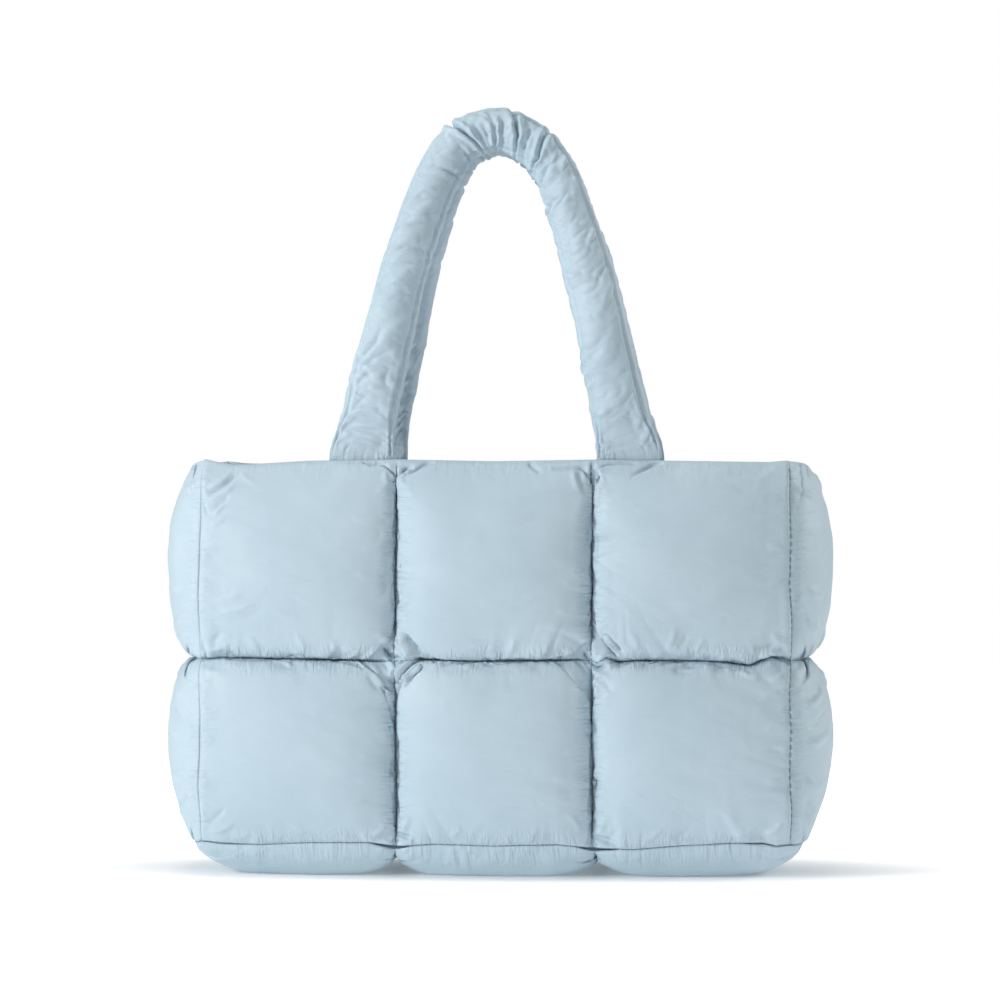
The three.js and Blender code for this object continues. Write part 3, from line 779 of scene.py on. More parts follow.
def panel_sheet(side, seed, skin):
    """The front (side -1) or the back."""
    reach = PANEL_WIDTH / 2 - SEAM_GAP + skin * HALF_SEAM
    local, wall = sheet_of(
        skin, (PANEL_KINDS, ROW_KINDS), (lambda a, b: reach, unscaled), (THIRDS, row_seams(skin)),
        PANEL_PUFF, seed, 0.45, creases=FRONT_FOLDS if side < 0 else BACK_FOLDS, knots=KNOTS, tuck=TUCK)
    a, b, h = np.moveaxis(local, 2, 0)
    y = side * (panel_distance(np.clip(a / PANEL_WIDTH + 0.5, 0, 1), b) + skin * (HALF_SEAM + h))
    z = b + rim_wave(a, b, RIM_FRONT if side < 0 else RIM_BACK)
    return np.stack([a, y, z], 2), wall


def gusset_sheet(side, seed, skin):
    """The left end (side -1) or the right one."""
    def reach(a, b):
        seam = half_depth(b) - SEAM_GAP + skin * HALF_SEAM
        if skin < 0:
            return seam
        return seam + PANEL_PUFF * CORNER_LIFT * crown_over(ROW_KINDS, row_seams(1), b)

    local, wall = sheet_of(
        skin, (["side", "side"], ROW_KINDS), (reach, unscaled), ([-1, 1], row_seams(skin)),
        GUSSET_PUFF, seed, 0.3, creases=RIGHT_FOLDS if side > 0 else LEFT_FOLDS)
    a, b, h = np.moveaxis(local, 2, 0)
    share = np.clip(a / reach(a, b), -1, 1)
    x = side * (gusset_distance((share + 1) / 2, b) + skin * (HALF_SEAM + h))
    front, back = (np.interp(side * PANEL_WIDTH / 2, *shape) for shape in (RIM_FRONT, RIM_BACK))
    z = b + rim_wave(a, b, ([-62, 0, 62], [front, RIM_SIDE, back]))
    return np.stack([x, a, z], 2), wall


def base_sheet(side, seed, skin):
    """The base, which faces down (side -1)."""
    def reach_a(a, b):
        v = base_shares(skin, a, b)[1]
        end = gusset_distance((v + 1) / 2, BASE_SEAM_HEIGHT) - SEAM_GAP + skin * HALF_SEAM
        return end if skin < 0 else end + GUSSET_PUFF * BASE_EDGE_LIFT * fall("quilted", 1 - np.abs(v))

    def reach_b(a, b):
        u = base_shares(skin, a, b)[0]
        edge = panel_distance((u + 1) / 2, BASE_SEAM_HEIGHT) - SEAM_GAP + skin * HALF_SEAM
        if skin < 0:
            return edge
        puff = np.clip((u + 1) / 2 * 3, 0, LAST_PUFF_END)
        return edge + PANEL_PUFF * BASE_EDGE_LIFT * crown_over(PANEL_KINDS, range(4), puff)

    local, wall = sheet_of(
        skin, (["side", "quilted", "quilted", "side"], ["side", "side"]), (reach_a, reach_b),
        (THIRDS, [-1, 1]), BASE_PUFF, seed, 0.4, top=floor_room)
    a, b, h = np.moveaxis(local, 2, 0)
    z = BASE_SEAM_HEIGHT + side * base_hang(a, b) + side * skin * (HALF_SEAM + h)
    return np.stack([a, b, z], 2), wall


# Meshes
def quads_of(shape, offset=0, wrap=False):
    index = np.arange(shape[0] * shape[1]).reshape(shape) + offset
    if wrap:
        index = np.concatenate([index, index[:, :1]], 1)
    return np.stack([index[:-1, :-1], index[:-1, 1:], index[1:, 1:], index[1:, :-1]], -1).reshape(-1, 4)


def ring_of(shape, offset=0):
    """The points round the edge of a grid, in order."""
    index = np.arange(shape[0] * shape[1]).reshape(shape) + offset
    return np.concatenate([index[0, :-1], index[:-1, -1], index[-1, :0:-1], index[:0:-1, 0]])


def volume_of(points, faces):
    """Six times the volume inside some quads, below 0 where they face inwards."""
    total = 0.0
    for face in (faces[:, [0, 1, 2]], faces[:, [0, 2, 3]]):
        a, b, c = (points[face[:, k]] for k in range(3))
        total += np.einsum("ij,ij->", a, np.cross(b, c))
    return total


def make_mesh(name, points, faces, cloth=None, seam=None):
    """A smooth mesh in metres. cloth is where each point lies on the flat cloth and seam its
    place along the nearest seam and its distance from it, in mm."""
    mesh = bpy.data.meshes.new(name)
    points = np.asarray(points, float).reshape(-1, 3) * 0.001
    mesh.vertices.add(len(points))
    mesh.vertices.foreach_set("co", points.ravel())
    faces = [np.asarray(face) for face in faces]
    sizes = np.array([len(face) for face in faces])
    mesh.loops.add(int(sizes.sum()))
    mesh.loops.foreach_set("vertex_index", np.concatenate(faces))
    mesh.polygons.add(len(faces))
    mesh.polygons.foreach_set("loop_start", np.concatenate([[0], sizes.cumsum()[:-1]]))
    mesh.polygons.foreach_set("use_smooth", np.ones(len(faces), bool))
    mesh.update(calc_edges=True)
    mesh.validate()
    for label, values in (("cloth", cloth), ("seam", seam)):
        if values is not None:
            values = np.asarray(values, float).reshape(-1, 3) * 0.001
            mesh.attributes.new(label, "FLOAT_VECTOR", "POINT").data.foreach_set("vector", values.ravel())
    made = bpy.data.objects.new(name, mesh)
    bpy.context.collection.objects.link(made)
    return made


# Each wall's outer cloth in space, kept for the stitches
SKINS = {}


def quilt_object(node, sheet, side, seed):
    """One closed piece from a wall's outer and inner cloth, joined round its edge."""
    (outer, wall_out), (inner, wall_in) = (sheet(side, seed, skin) for skin in (1, -1))
    shape, lining = outer.shape[:2], inner.shape[:2]
    count = shape[0] * shape[1]
    points = wander(np.concatenate([outer.reshape(-1, 3), inner.reshape(-1, 3)]))
    SKINS[node] = points[:count].reshape(outer.shape)
    # The hem between the two is a little rounded: one more row of points, half way.
    edge, under = ring_of(shape), ring_of(lining, count)
    half = (points[edge[::2]] + points[under]) / 2
    half[:, 2] += 0.7 * (points[edge[::2], 2] > RIM_HEIGHT - 6)
    row = np.arange(len(under)) + len(points)
    points = np.concatenate([points, half])
    after, under_after, row_after = np.roll(edge, -1), np.roll(under, -1), np.roll(row, -1)
    faces = np.concatenate([quads_of(shape), quads_of(lining, count)[:, ::-1]])
    inward = volume_of(points, faces) < 0
    faces = list(faces)
    faces += zip(edge[::2], row, row_after, np.roll(edge, -2)[::2], after[::2])
    faces += zip(row, under, under_after, row_after)
    if inward:
        faces = [face[::-1] for face in faces]
    cloth = [np.concatenate([wall.cloth, np.full(wall.cloth.shape[:2] + (1,), layer)], 2).reshape(-1, 3)
             for wall, layer in ((wall_out, 0.0), (wall_in, 500.0))]
    seam = [wall.seam.reshape(-1, 3) for wall in (wall_out, wall_in)]
    cloth, seam = (np.concatenate(values + [values[0][edge[::2]]]) for values in (cloth, seam))
    made = make_mesh(node + "_quilt", points, faces, cloth, seam)
    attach(made, "root")
    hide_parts(node)
    return made


# The handles
TAB = TAB_LENGTH + FOOT_HEIGHT
GIRTH = np.pi * HANDLE_DIAMETER
RINGS, AROUND = 241, 40
FINE_RINGS, FINE_AROUND = 620, 96
HANDLE_STEPS = 240
HANDLE_PUSH = 0.03
# How far the settling tube may leave its form, inwards and outwards.
HANDLE_PLAY = (0.1, 0.07)

# where along the tube, how deep, half width, slant, the side it is on (0 outer, pi inner), spread
CREASES = [
    (0.452, 0.16, 0.005, 0.010, 2.9, 1.9),
    (0.532, 0.14, 0.0045, -0.012, 2.6, 1.6),
    (0.565, 0.12, 0.0045, -0.020, 2.6, 1.5),
    (0.425, 0.08, 0.006, 0.016, 3.4, 1.2),
    (0.60, 0.07, 0.006, -0.02, 2.4, 1.2),
]

# length of the crinkles along the tube, how many go round, their slant, their height
CRINKLES = [(20, 3, 14, 0.55), (9, 5, 16, 1.3), (5.2, 8, 16, 1.15), (3.4, 12, 10, 0.5)]

# The deep folds over the top of a handle: where (x), slant, half width, depth, and how far
# round they go: -1 is under the arch, 1 over its top.
HANDLE_FOLDS = [
    (-38, 4, 1.4, 1.7, 0.5), (-29, -4, 1.3, 1.8, 0.2), (-20.5, 5, 1.15, 4.6, 1.3), (-8, -3, 1.5, 1.3, 0.3),
    (-14, 2, 1.3, 1.5, 0.5), (-2, 4, 1.3, 1.8, 0.9), (4, 6, 1.4, 1.8, 0.6), (14, 10, 1.15, 4.2, 1.2),
    (22, 9, 1.4, 1.7, 0.5), (30, 11, 1.2, 3.6, 1.0), (38, 10, 1.4, 1.8, 0.6), (46, 9, 1.4, 2.0, 0.4),
    (54, -6, 2.0, 0.8, 0.3), (-46, -6, 2.0, 0.8, 0.4), (-56, 7, 2.2, 0.7, 0.6), (62, 8, 2.2, 0.7, 0.5),
]
# Where the lengthwise seams are, as shares of a turn.
HANDLE_SEAMS = (0.09, 0.41)


def inner_face(x, z):
    """How far the lining of the front or back wall is from the middle of the bag."""
    low = np.minimum(z, RIM_HEIGHT)
    cell = (0.5 + x / (PANEL_WIDTH - 2 * SEAM_GAP)) * 3
    across = arch(cell - np.floor(cell))
    up = arch((low - ROW_SEAM_HEIGHT) / (RIM_HEIGHT - ROW_SEAM_HEIGHT))
    return panel_distance(0.5 + x / PANEL_WIDTH, low) - HALF_SEAM - INNER_PUFF * across * up


def tab_distance(x, z):
    return inner_face(x, z) - TAB_CLEARANCE - FLAT_THICKNESS / 2


def handle_line(side):
    """A handle's middle line from one tab to the other: x, y, z, flatness and size at even
    steps, with the length up to each."""
    across, rise, lean, flat, size = HANDLE_SECTIONS.T
    foot = tab_distance(HANDLE_HALF_SPREAD, RIM_HEIGHT)
    curve = catmull(np.stack([
        across * HANDLE_HALF_SPREAD,
        side * mix(foot, (HANDLE_DIAMETER + HANDLE_SPACING) / 2, lean),
        mix(RIM_HEIGHT + FOOT_HEIGHT, RIM_HEIGHT + HANDLE_RISE, rise),
        flat, size], 1), 2000)
    drop = np.linspace(-TAB, 0, 60)[:-1]

    def tail(end):
        line = np.repeat(end[None], len(drop), 0)
        line[:, 2] = RIM_HEIGHT + FOOT_HEIGHT + drop
        line[:, 1] = side * tab_distance(np.full(len(drop), HANDLE_HALF_SPREAD), line[:, 2])
        line[:, 3:] = 1
        return line

    curve = np.concatenate([tail(curve[0]), curve, tail(curve[-1])[::-1]])
    length = np.insert(np.linalg.norm(np.diff(curve[:, :3], axis=0), axis=1).cumsum(), 0, 0)
    place = np.linspace(0, length[-1], RINGS)
    return np.stack([np.interp(place, length, column) for column in curve.T], 1), place


def sew_tube(side, rng, line, place):
    """The settled cloth of a handle, as rings of points."""
    centre, flat, size = line[:, :3], np.clip(line[:, 3], 0, 1), line[:, 4]
    total, step = place[-1], place[-1] / (RINGS - 1)
    tangent = unit(np.gradient(centre, axis=0))
    deep = unit(np.array([0, 1.0, 0]) - tangent * tangent[:, 1:2])
    wide = np.cross(deep, tangent)
    half_w = mix(HANDLE_DIAMETER, FLAT_WIDTH, flat) * size / 2
    half_d = mix(HANDLE_DIAMETER, FLAT_THICKNESS, flat) * size / 2
    square = mix(1.0, FLAT_SQUARENESS, flat)
    angle = np.linspace(0, 2 * np.pi, AROUND, endpoint=False)[None, :]
    u, v = (np.sign(wave) * np.abs(wave) ** square[:, None] * half[:, None]
            for wave, half in ((np.cos(angle), half_w), (np.sin(angle), half_d)))
    surface = centre[:, None] + u[..., None] * wide[:, None] + v[..., None] * deep[:, None]

    # The tab lies along the wall's inner face.
    tab_rings = int(round((TAB - 1) / step)) + 1
    held = np.zeros((RINGS, AROUND), bool)
    for rows in (slice(0, tab_rings), slice(RINGS - tab_rings, RINGS)):
        held[rows] = True
        x, z = surface[rows, :, 0], surface[rows, :, 2]
        off = surface[rows, :, 1] - centre[rows, None, 1]
        surface[rows, :, 1] = side * tab_distance(np.abs(x), z) + off

    ring_steps = np.linalg.norm(np.roll(surface, -1, 1) - surface, axis=2)
    across = np.repeat(ring_steps.sum(1, keepdims=True) / AROUND, AROUND, 1)
    across *= 1.01 + 0.015 * smooth_noise(rng, (RINGS, AROUND), 8)
    ease = smooth(np.clip((np.minimum(place, total - place) - TAB) / 35, 0, 1))
    along = np.maximum(np.linalg.norm(np.diff(surface, axis=0), axis=2), step) * (1 + 0.035 * ease[1:, None])
    along *= 1 + 0.03 * smooth_noise(rng, along.shape, 6) * ease[1:, None]
    links = links_of((RINGS, AROUND), mix(ring_steps, across, ease[:, None]), along, True, 0.3, 0.15)
    free = (~held).astype(float).ravel()
    own = np.repeat(np.arange(RINGS), AROUND)
    turn = np.repeat(angle, RINGS, 0).ravel()
    soft = np.repeat(ease, AROUND)

    def limit(points):
        shift = np.einsum("ij,ij->i", points - centre[own], tangent[own]) / step
        ring = np.clip(np.round(own + shift), 0, RINGS - 1).astype(int)
        offset = points - centre[ring]
        u, v = (np.einsum("ij,ij->i", offset, way[ring]) for way in (wide, deep))
        power = 2 / square[ring]
        rho = (np.abs(u / half_w[ring]) ** power + np.abs(v / half_d[ring]) ** power) ** (1 / power)
        high = 1 + HANDLE_PLAY[1] * soft
        share, around_now = (own + shift) / (RINGS - 1), np.arctan2(v, u)
        for at, depth, width, slant, where, spread in CREASES:
            gap = share - at - slant * np.sin(turn)
            facing = np.abs((around_now - (where - np.pi) + np.pi) % (2 * np.pi) - np.pi)
            high -= (depth + HANDLE_PLAY[1]) * bell(gap, width) * np.exp(-(facing / spread) ** 4)
        low = np.minimum(1 - HANDLE_PLAY[0] * soft, high - 0.002)
        move = ((np.clip(rho, low, high) / np.maximum(rho, 1e-6) - 1) * free)[:, None]
        points += move * (u[:, None] * wide[ring] + v[:, None] * deep[ring])

    def shove(points):
        out = grid_normals(points.reshape(surface.shape), wrap=True).reshape(-1, 3)
        facing = np.einsum("ij,ij->i", out, points - centre[own])
        return HANDLE_PUSH * out * np.sign(facing)[:, None]

    rough = 0.4 * smooth_noise(rng, (RINGS, AROUND), 2) * ease[:, None]
    start = surface + rough[..., None] * ((surface - centre[:, None]) / 15)
    points = settle(start.reshape(-1, 3), free, links, HANDLE_STEPS, shove, limit).reshape(surface.shape)
    return calm(mix(surface, points, (ease ** 2)[:, None, None]), ease[:, None, None])


def calm(points, ease):
    """Takes the roughest kinks out of a tube, and more of them from its underside."""
    def along(points, where):
        near = (points[:-2] + points[2:]) / 2
        points[1:-1] = mix(points[1:-1], near, where[1:-1])

    for _ in range(7):
        along(points, 0.5 * ease)
        points = mix(points, (np.roll(points, 1, 1) + np.roll(points, -1, 1)) / 2, 0.12 * ease)
    under = (points - points.mean(1, keepdims=True))[..., 2:] < -2
    for _ in range(10):
        along(points, 0.5 * ease * under)
    return points


def tube_folds(side, rng, turn, along, rise, total, ring_at):
    """The height of a handle's crinkles, seams, gathers and deep folds. turn is the share of a
    turn, along the place on the tube, and rise how much the surface faces up."""
    height, upper = np.zeros(turn.shape), np.clip(1 + 0.8 * rise, 0.2, 1)
    for size, cells, sway, crinkle in CRINKLES:
        sway_at = along + sway * np.sin(2 * np.pi * (turn + rng.random()))
        patch = np.clip(0.75 + 0.7 * noise_at(rng, along, turn, 26, 1, 3), 0.15, 1.6)
        height += crinkle * patch * (np.abs(noise_at(rng, sway_at, turn, size, 1, cells)) - 0.6)
    height *= 0.3 + 0.7 * np.sin(2 * np.pi * turn) ** 2
    height *= upper
    for edge in HANDLE_SEAMS:
        gap = GIRTH * (np.where(side < 0, 1 - turn, turn) - edge)
        height += 0.6 * bell(np.abs(gap) - 2.6, 1.3) - 1.5 * bell(gap, 1.25)
    for from_foot in (along - TAB, total - TAB - along):
        gathers = 0.9 * gather_folds(rng, turn * GIRTH, np.maximum(from_foot, 0)) * (from_foot > -0.5)
        height += gathers * np.abs(np.sin(np.pi * turn)) ** 0.2
    spread = np.sqrt(np.maximum(0, 1 - rise ** 2))
    for x_at, slant, width, deep, reach in HANDLE_FOLDS:
        gap = along - ring_at(x_at) + slant * rise
        shape = -bell(gap, width) + 0.45 * bell(np.abs(gap) - 2.6 * width, 1.8 * width)
        where = np.clip((reach - rise) / 0.5, 0, 1) * np.clip(0.4 + spread, 0, 1) * upper
        height += deep * shape * where
    return height * np.clip(np.minimum(along, total - along) - TAB, 0, 6) / 6


def handle_object(node, side, seed):
    """One closed tube with flat ends, with the small crinkles and folds of its cloth."""
    rng = np.random.default_rng(seed)
    line, place = handle_line(side)
    points = sew_tube(side, rng, line, place)
    grid = np.concatenate([points, np.repeat(place[:, None], AROUND, 1)[..., None]], 2)
    grid = refine(grid, 0, 1, RINGS - 1, FINE_RINGS - 1)
    grid = refine(np.concatenate([grid, grid[:, :1]], 1), 1, 1, AROUND, FINE_AROUND)[:, :-1]
    points, along, total = grid[..., :3], grid[..., 3], place[-1]
    turn = np.repeat(np.linspace(0, 1, FINE_AROUND, endpoint=False)[None], FINE_RINGS, 0)
    out = grid_normals(points, wrap=True)
    if np.einsum("ijk,ijk->", out, points - points.mean(1, keepdims=True)) < 0:
        out = -out
    height = tube_folds(side, rng, turn, along, out[..., 2], total,
                        lambda x: np.interp(x, line[:, 0], place))
    points = points + out * height[..., None]

    index = np.arange(turn.size).reshape(turn.shape)
    faces, caps = quads_of(turn.shape, wrap=True), [index[0][::-1], index[-1]]
    if volume_of(points.reshape(-1, 3), faces) < 0:
        faces, caps = faces[:, ::-1], [cap[::-1] for cap in caps]
    cloth = np.stack([turn * GIRTH, along, np.full(turn.shape, 900.0)], 2)
    from_foot = np.maximum(np.minimum(along, total - along) - TAB, 0)
    seam = np.stack([turn * GIRTH, from_foot, np.full(turn.shape, 500.0)], 2)
    made = make_mesh(node + "_tube", points, list(faces) + caps, cloth, seam)
    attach(made, "root")
    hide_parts(node)
    return made


# The stitches
def thread(paths, radius, dash=2.9, gap=1.3, sides=6):
    """Short sewn stitches along paths, as one mesh's points and faces."""
    points, faces = [], []
    turn = np.linspace(0, 2 * np.pi, sides, endpoint=False)
    for path in paths:
        path = np.asarray(path, float)
        run = np.insert(np.linalg.norm(np.diff(path, axis=0), axis=1).cumsum(), 0, 0)
        for start in np.arange(gap, run[-1] - dash, dash + gap):
            at = start + dash * np.array([0, 0.12, 0.5, 0.88, 1.0])
            line = np.stack([np.interp(at, run, column) for column in path.T], 1)
            way = line[-1] - line[0]
            way /= np.linalg.norm(way)
            one_side = np.cross(way, (0.3, 0.5, 0.81))
            one_side /= np.linalg.norm(one_side)
            other = np.cross(way, one_side)
            ring = np.cos(turn)[:, None] * one_side + np.sin(turn)[:, None] * other
            first = len(points)
            points.append(line[0])
            for place, size in zip(line[1:-1], (0.85, 1.0, 0.85)):
                points.extend(place + radius * size * ring)
            points.append(line[-1])
            rings = [first + 1 + sides * k for k in range(3)]
            for k in range(sides):
                n = (k + 1) % sides
                faces.append([first, rings[0] + n, rings[0] + k])
                for low, high in zip(rings, rings[1:]):
                    faces.append([low + k, low + n, high + n, high + k])
                faces.append([rings[2] + k, rings[2] + n, first + 1 + 3 * sides])
    return np.array(points), faces


def sew_on(name, paths, slot, **sizes):
    points, faces = thread(paths, **sizes)
    made = make_mesh(name, points, faces)
    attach(made, "root")
    return made


def corner_seam(panel, edge, gusset, near):
    """The line between the edges of a panel and a gusset that are sewn together."""
    return (SKINS[panel][2:-2, edge] + SKINS[gusset][2:-2, near]) / 2


def wall_seams(outer):
    """The stitched lines inside a wall: the rows and columns of its grid between puffs."""
    rows, columns = outer.shape[:2]
    lines = [outer[row] for row in range(FINE[1], rows - 1, FINE[1])]
    return lines + [outer[:, column] for column in range(FINE[0], columns - 1, FINE[0])]


# The rectangle sewn on each tab: half its width, and the heights of its lower and upper line.
TAB_STITCHES = (15, 251, 263)


def tab_seam(side, end):
    half, low, high = TAB_STITCHES
    corners = [(-half, low), (half, low), (half, high), (-half, high), (-half, low)]
    path = []
    for (u0, z0), (u1, z1) in zip(corners, corners[1:]):
        for share in np.linspace(0, 1, 12):
            z = mix(z0, z1, share)
            face = tab_distance(HANDLE_HALF_SPREAD, z) - FLAT_THICKNESS / 2 - 0.1
            path.append((end * HANDLE_HALF_SPREAD + mix(u0, u1, share), side * face, z))
    return path


# Materials
def add_node(tree, kind, inputs=None, **settings):
    """A new shader node: settings are its own values, inputs its sockets' values or links."""
    made = tree.nodes.new("ShaderNode" + kind)
    for name, value in settings.items():
        setattr(made, name, value)
    plug(tree, made, inputs or {})
    return made


def plug(tree, node, inputs):
    for name, value in inputs.items():
        if isinstance(value, bpy.types.NodeSocket):
            tree.links.new(value, node.inputs[name])
        else:
            node.inputs[name].default_value = value


def new_material(name):
    material = bpy.data.materials.new(name)
    material.use_nodes = True
    return material, material.node_tree, material.node_tree.nodes["Principled BSDF"]


def nylon(name, base, dark, light, crinkled):
    """Thin woven nylon: three tones in soft clouds, and bumps for weave, crinkles and gathers."""
    material, tree, shader = new_material(name)
    plug(tree, shader, {"Roughness": 0.5, "Specular IOR Level": 0.35, "Sheen Weight": 0.25,
                        "Sheen Roughness": 0.4, "Sheen Tint": (0.9, 0.95, 1.0, 1)})
    cloth = add_node(tree, "Attribute", attribute_name="cloth").outputs["Vector"]

    def noise(scale, detail, roughness=0.5, stretch=(1, 1, 1), distortion=0.0):
        place = add_node(tree, "Mapping", {"Vector": cloth, "Scale": stretch}).outputs["Vector"]
        return add_node(tree, "TexNoise", {
            "Vector": place, "Scale": scale, "Detail": detail, "Roughness": roughness,
            "Distortion": distortion}).outputs["Fac"]

    def threads(direction):
        return add_node(tree, "TexWave", {"Vector": cloth, "Scale": 500, "Distortion": 0.4, "Detail": 1.0},
                        wave_type="BANDS", bands_direction=direction).outputs["Fac"]

    def math_node(operation, first, second=0.5):
        return add_node(tree, "Math", {0: first, 1: second}, operation=operation).outputs[0]

    def bump(strength, distance, height, **below):
        return add_node(tree, "Bump", {"Strength": strength, "Distance": distance, "Height": height,
                                       **below}).outputs["Normal"]

    tones = add_node(tree, "ValToRGB", {"Fac": noise(14, 3)})
    tones.color_ramp.elements[0].position = 0.3
    tones.color_ramp.elements[0].color = (*dark, 1)
    tones.color_ramp.elements[1].position = 0.7
    tones.color_ramp.elements[1].color = (*light, 1)
    tones.color_ramp.elements.new(0.5).color = (*base, 1)

    # The plain weave, and the fine crinkle of thin cloth over filling.
    weave = bump(0.25, 0.00012, math_node("MULTIPLY", threads("X"), threads("Y")))
    centred = math_node("SUBTRACT", noise(105, 1.5, 0.4, stretch=(0.6, 1.0, 1), distortion=0.5))
    crinkle = bump(0.5, crinkled, math_node("ABSOLUTE", centred), Normal=weave)

    # The finest gathers, which run away from each seam.
    seam = add_node(tree, "Attribute", attribute_name="seam").outputs["Vector"]
    apart = add_node(tree, "SeparateXYZ", {0: seam})
    fade = add_node(tree, "MapRange", {
        "Value": apart.outputs["Y"], "From Min": 0.0, "From Max": 0.015, "To Min": 1.0, "To Max": 0.0},
        interpolation_type="SMOOTHSTEP")
    patches = add_node(tree, "MapRange", {
        "Value": noise(38, 1), "From Min": 0.3, "From Max": 0.6, "To Min": 0.15})
    run = add_node(tree, "Mapping", {"Vector": seam, "Scale": (1, 0.3, 0)}).outputs["Vector"]
    gather = add_node(tree, "TexNoise", {"Vector": run, "Scale": 300, "Detail": 2.0, "Distortion": 0.9})
    firm = math_node("MULTIPLY", math_node("MULTIPLY", patches.outputs["Result"], fade.outputs["Result"]),
                     apart.outputs["Z"])
    pleats = bump(1.0, 0.003, math_node("MULTIPLY", gather.outputs["Fac"], firm), Normal=crinkle)
    plug(tree, shader, {"Base Color": tones.outputs["Color"], "Normal": pleats})
    return material


def thread_and_painted_shade_material():
    material, tree, shader = new_material("thread")
    place = add_node(tree, "TexCoord").outputs["Object"]
    twist = add_node(tree, "TexWave", {"Vector": place, "Scale": 900}, bands_direction="DIAGONAL")
    # Painted shade: the thread is real, but its dark tones also stand in for the shadow in its stitch holes
    # and seam grooves.
    tone = add_node(tree, "ValToRGB", {"Fac": twist.outputs["Fac"]})
    tone.color_ramp.elements[0].color = (0.13, 0.19, 0.24, 1)
    tone.color_ramp.elements[1].color = (0.22, 0.30, 0.36, 1)
    plug(tree, shader, {"Roughness": 0.6, "Sheen Weight": 0.2, "Base Color": tone.outputs["Color"]})
    return material


def floor_material():
    """Pale and evenly lit to the camera, with a painted shadow below the bag: its glow is weaker there."""
    material, tree, shader = new_material("floor_white")
    spot = add_node(tree, "TexCoord").outputs["Object"]
    longer = add_node(tree, "VectorMath", {0: spot, 1: (0.3, 1, 0)}, operation="MULTIPLY")
    apart = add_node(tree, "VectorMath", {0: longer.outputs["Vector"]}, operation="LENGTH")
    # Painted shadow: the glow seen by the camera falls from 0.62 to 0.08 in a patch round the bag.
    painted_shadow_patch = add_node(tree, "MapRange", {
        "Value": apart.outputs["Value"], "From Min": 0.055, "From Max": 0.11,
        "To Min": 0.08, "To Max": 0.62})
    seen = add_node(tree, "LightPath").outputs["Is Camera Ray"]
    # To other rays the floor glows evenly at 0.22, which lights the bag from below.
    glow = add_node(tree, "MapRange", {"Value": seen, "To Min": 0.22, "To Max": painted_shadow_patch.outputs["Result"]})
    plug(tree, shader, {"Base Color": (0.9, 0.9, 0.9, 1), "Roughness": 0.6,
                        "Emission Color": (1, 1, 1, 1), "Emission Strength": glow.outputs["Result"]})
    return material


# Building the bag
def dress(material, *pieces):
    for piece in pieces:
        piece.data.materials.append(material)


shell = nylon("shell_nylon", (0.50, 0.635, 0.715), (0.475, 0.61, 0.69), (0.53, 0.66, 0.74), 0.0008)
strap = nylon("strap_nylon", (0.48, 0.61, 0.69), (0.45, 0.585, 0.665), (0.51, 0.64, 0.72), 0.003)
dress(shell,
      quilt_object("front_panel", panel_sheet, -1, 11),
      quilt_object("back_panel", panel_sheet, 1, 23),
      quilt_object("left_gusset", gusset_sheet, -1, 37),
      quilt_object("right_gusset", gusset_sheet, 1, 41),
      quilt_object("base_panel", base_sheet, -1, 53))
dress(strap, handle_object("front_handle", -1, 61), handle_object("back_handle", 1, 73))

# The front left corner seam hardly shows, so it has no thread.
corner_lines = [corner_seam("front_panel", -1, "right_gusset", 0),
                corner_seam("back_panel", 0, "left_gusset", -1),
                corner_seam("back_panel", -1, "right_gusset", -1)]
low_lines = [SKINS[panel][0, 3:-3] for panel in ("front_panel", "back_panel")]
quilt_lines = [line for wall in ("front_panel", "back_panel", "left_gusset", "right_gusset")
               for line in wall_seams(SKINS[wall])]
tab_lines = [tab_seam(side, end) for side in (-1, 1) for end in (-1, 1)]
dress(thread_and_painted_shade_material(),
      sew_on("corner_seam_stitches", corner_lines, "quilted_nylon", radius=0.5, dash=3.4, gap=1.5),
      sew_on("bottom_seam_stitches", low_lines, "quilted_nylon", radius=0.34),
      sew_on("quilting_stitches", quilt_lines, "quilted_nylon", radius=0.4),
      sew_on("tab_stitches", tab_lines, "handle_nylon", radius=0.4))

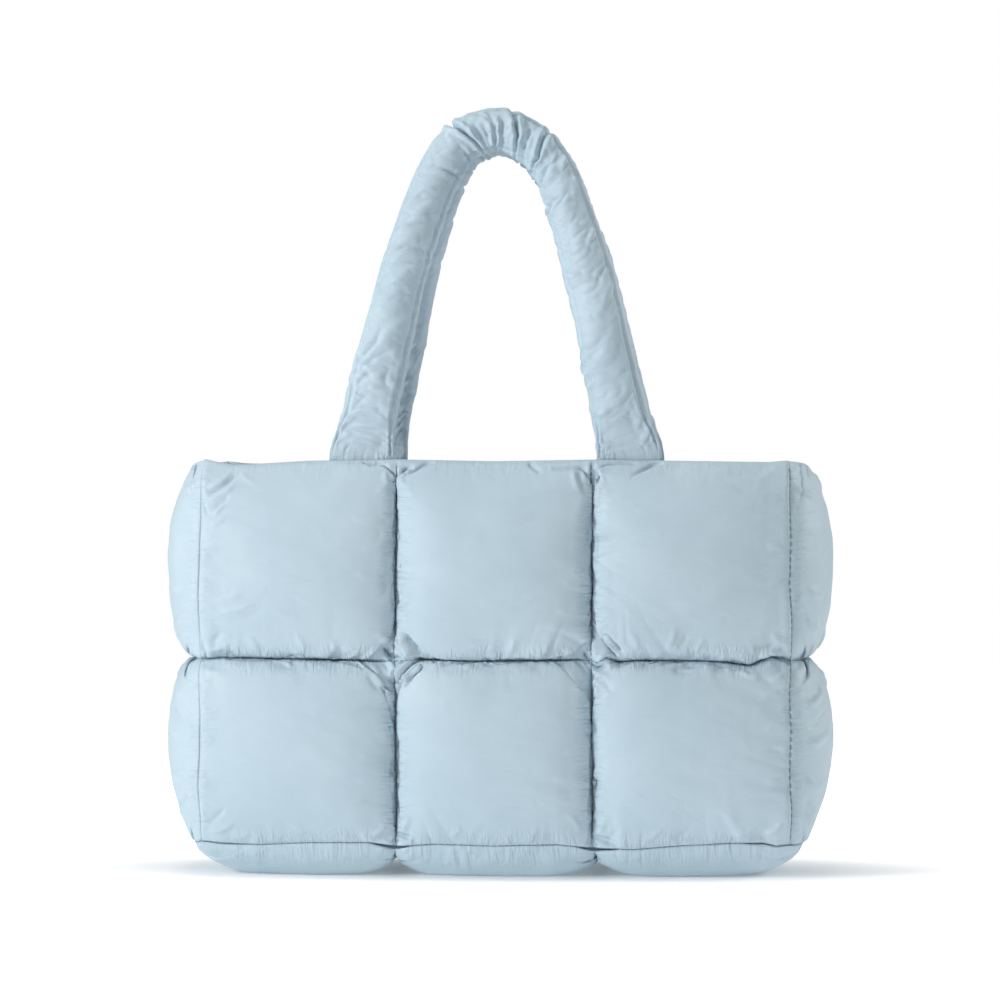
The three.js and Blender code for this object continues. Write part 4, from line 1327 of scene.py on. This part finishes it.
# Floor, lights and camera, in metres
FLOOR_HALF = 1.8
AIM = Vector((0.0, 0.0, 0.242))
LIGHT_AIM = Vector((0, 0, 0.2))
CAMERA_DISTANCE = 2.35
CAMERA_AZIMUTH = math.radians(3.5)
FRAME_WIDTH = 0.656
SENSOR_WIDTH = 36


def face_towards(thing, target):
    thing.rotation_euler = (target - thing.location).to_track_quat("-Z", "Y").to_euler()


def stage_object(name, data):
    made = bpy.data.objects.new(name, data)
    bpy.context.collection.objects.link(made)
    return made


def area_light(name, place, size, power):
    data = bpy.data.lights.new(name, "AREA")
    data.shape = "DISK"
    data.size = size
    data.energy = power
    light = stage_object(name, data)
    light.location = place
    face_towards(light, LIGHT_AIM)


def studio_world(scene):
    """White to the camera, and a weaker even light on the bag."""
    scene.world = bpy.data.worlds.new("studio")
    scene.world.use_nodes = True
    tree = scene.world.node_tree
    tree.nodes.clear()
    lit, seen = (add_node(tree, "Background", {"Color": (1, 1, 1, 1), "Strength": strength}).outputs[0]
                 for strength in (0.36, 1.0))
    camera_ray = add_node(tree, "LightPath").outputs["Is Camera Ray"]
    blend = add_node(tree, "MixShader", {"Fac": camera_ray, 1: lit, 2: seen})
    add_node(tree, "OutputWorld", {"Surface": blend.outputs[0]})


floor_mesh = bpy.data.meshes.new("floor")
floor_corners = [(FLOOR_HALF * x, FLOOR_HALF * y, 0) for x, y in ((-1, -1), (1, -1), (1, 1), (-1, 1))]
floor_mesh.from_pydata(floor_corners, [], [(0, 1, 2, 3)])
floor_mesh.materials.append(floor_material())
floor = stage_object("floor", floor_mesh)

scene = bpy.context.scene
studio_world(scene)
area_light("key", (-1.65, -1.15, 0.75), 0.75, 24)
area_light("back_right", (2.2, 0.9, 0.9), 0.8, 17)
area_light("above", (-0.2, -0.2, 2.4), 1.2, 13)

camera_data = bpy.data.cameras.new("camera")
camera = stage_object("camera", camera_data)
camera.location = AIM + CAMERA_DISTANCE * Vector((math.sin(CAMERA_AZIMUTH), -math.cos(CAMERA_AZIMUTH), 0))
face_towards(camera, AIM)
camera_data.sensor_width = SENSOR_WIDTH
camera_data.lens = SENSOR_WIDTH * CAMERA_DISTANCE / FRAME_WIDTH
camera_data.dof.use_dof = False
scene.camera = camera
scene.view_settings.view_transform = "Standard"
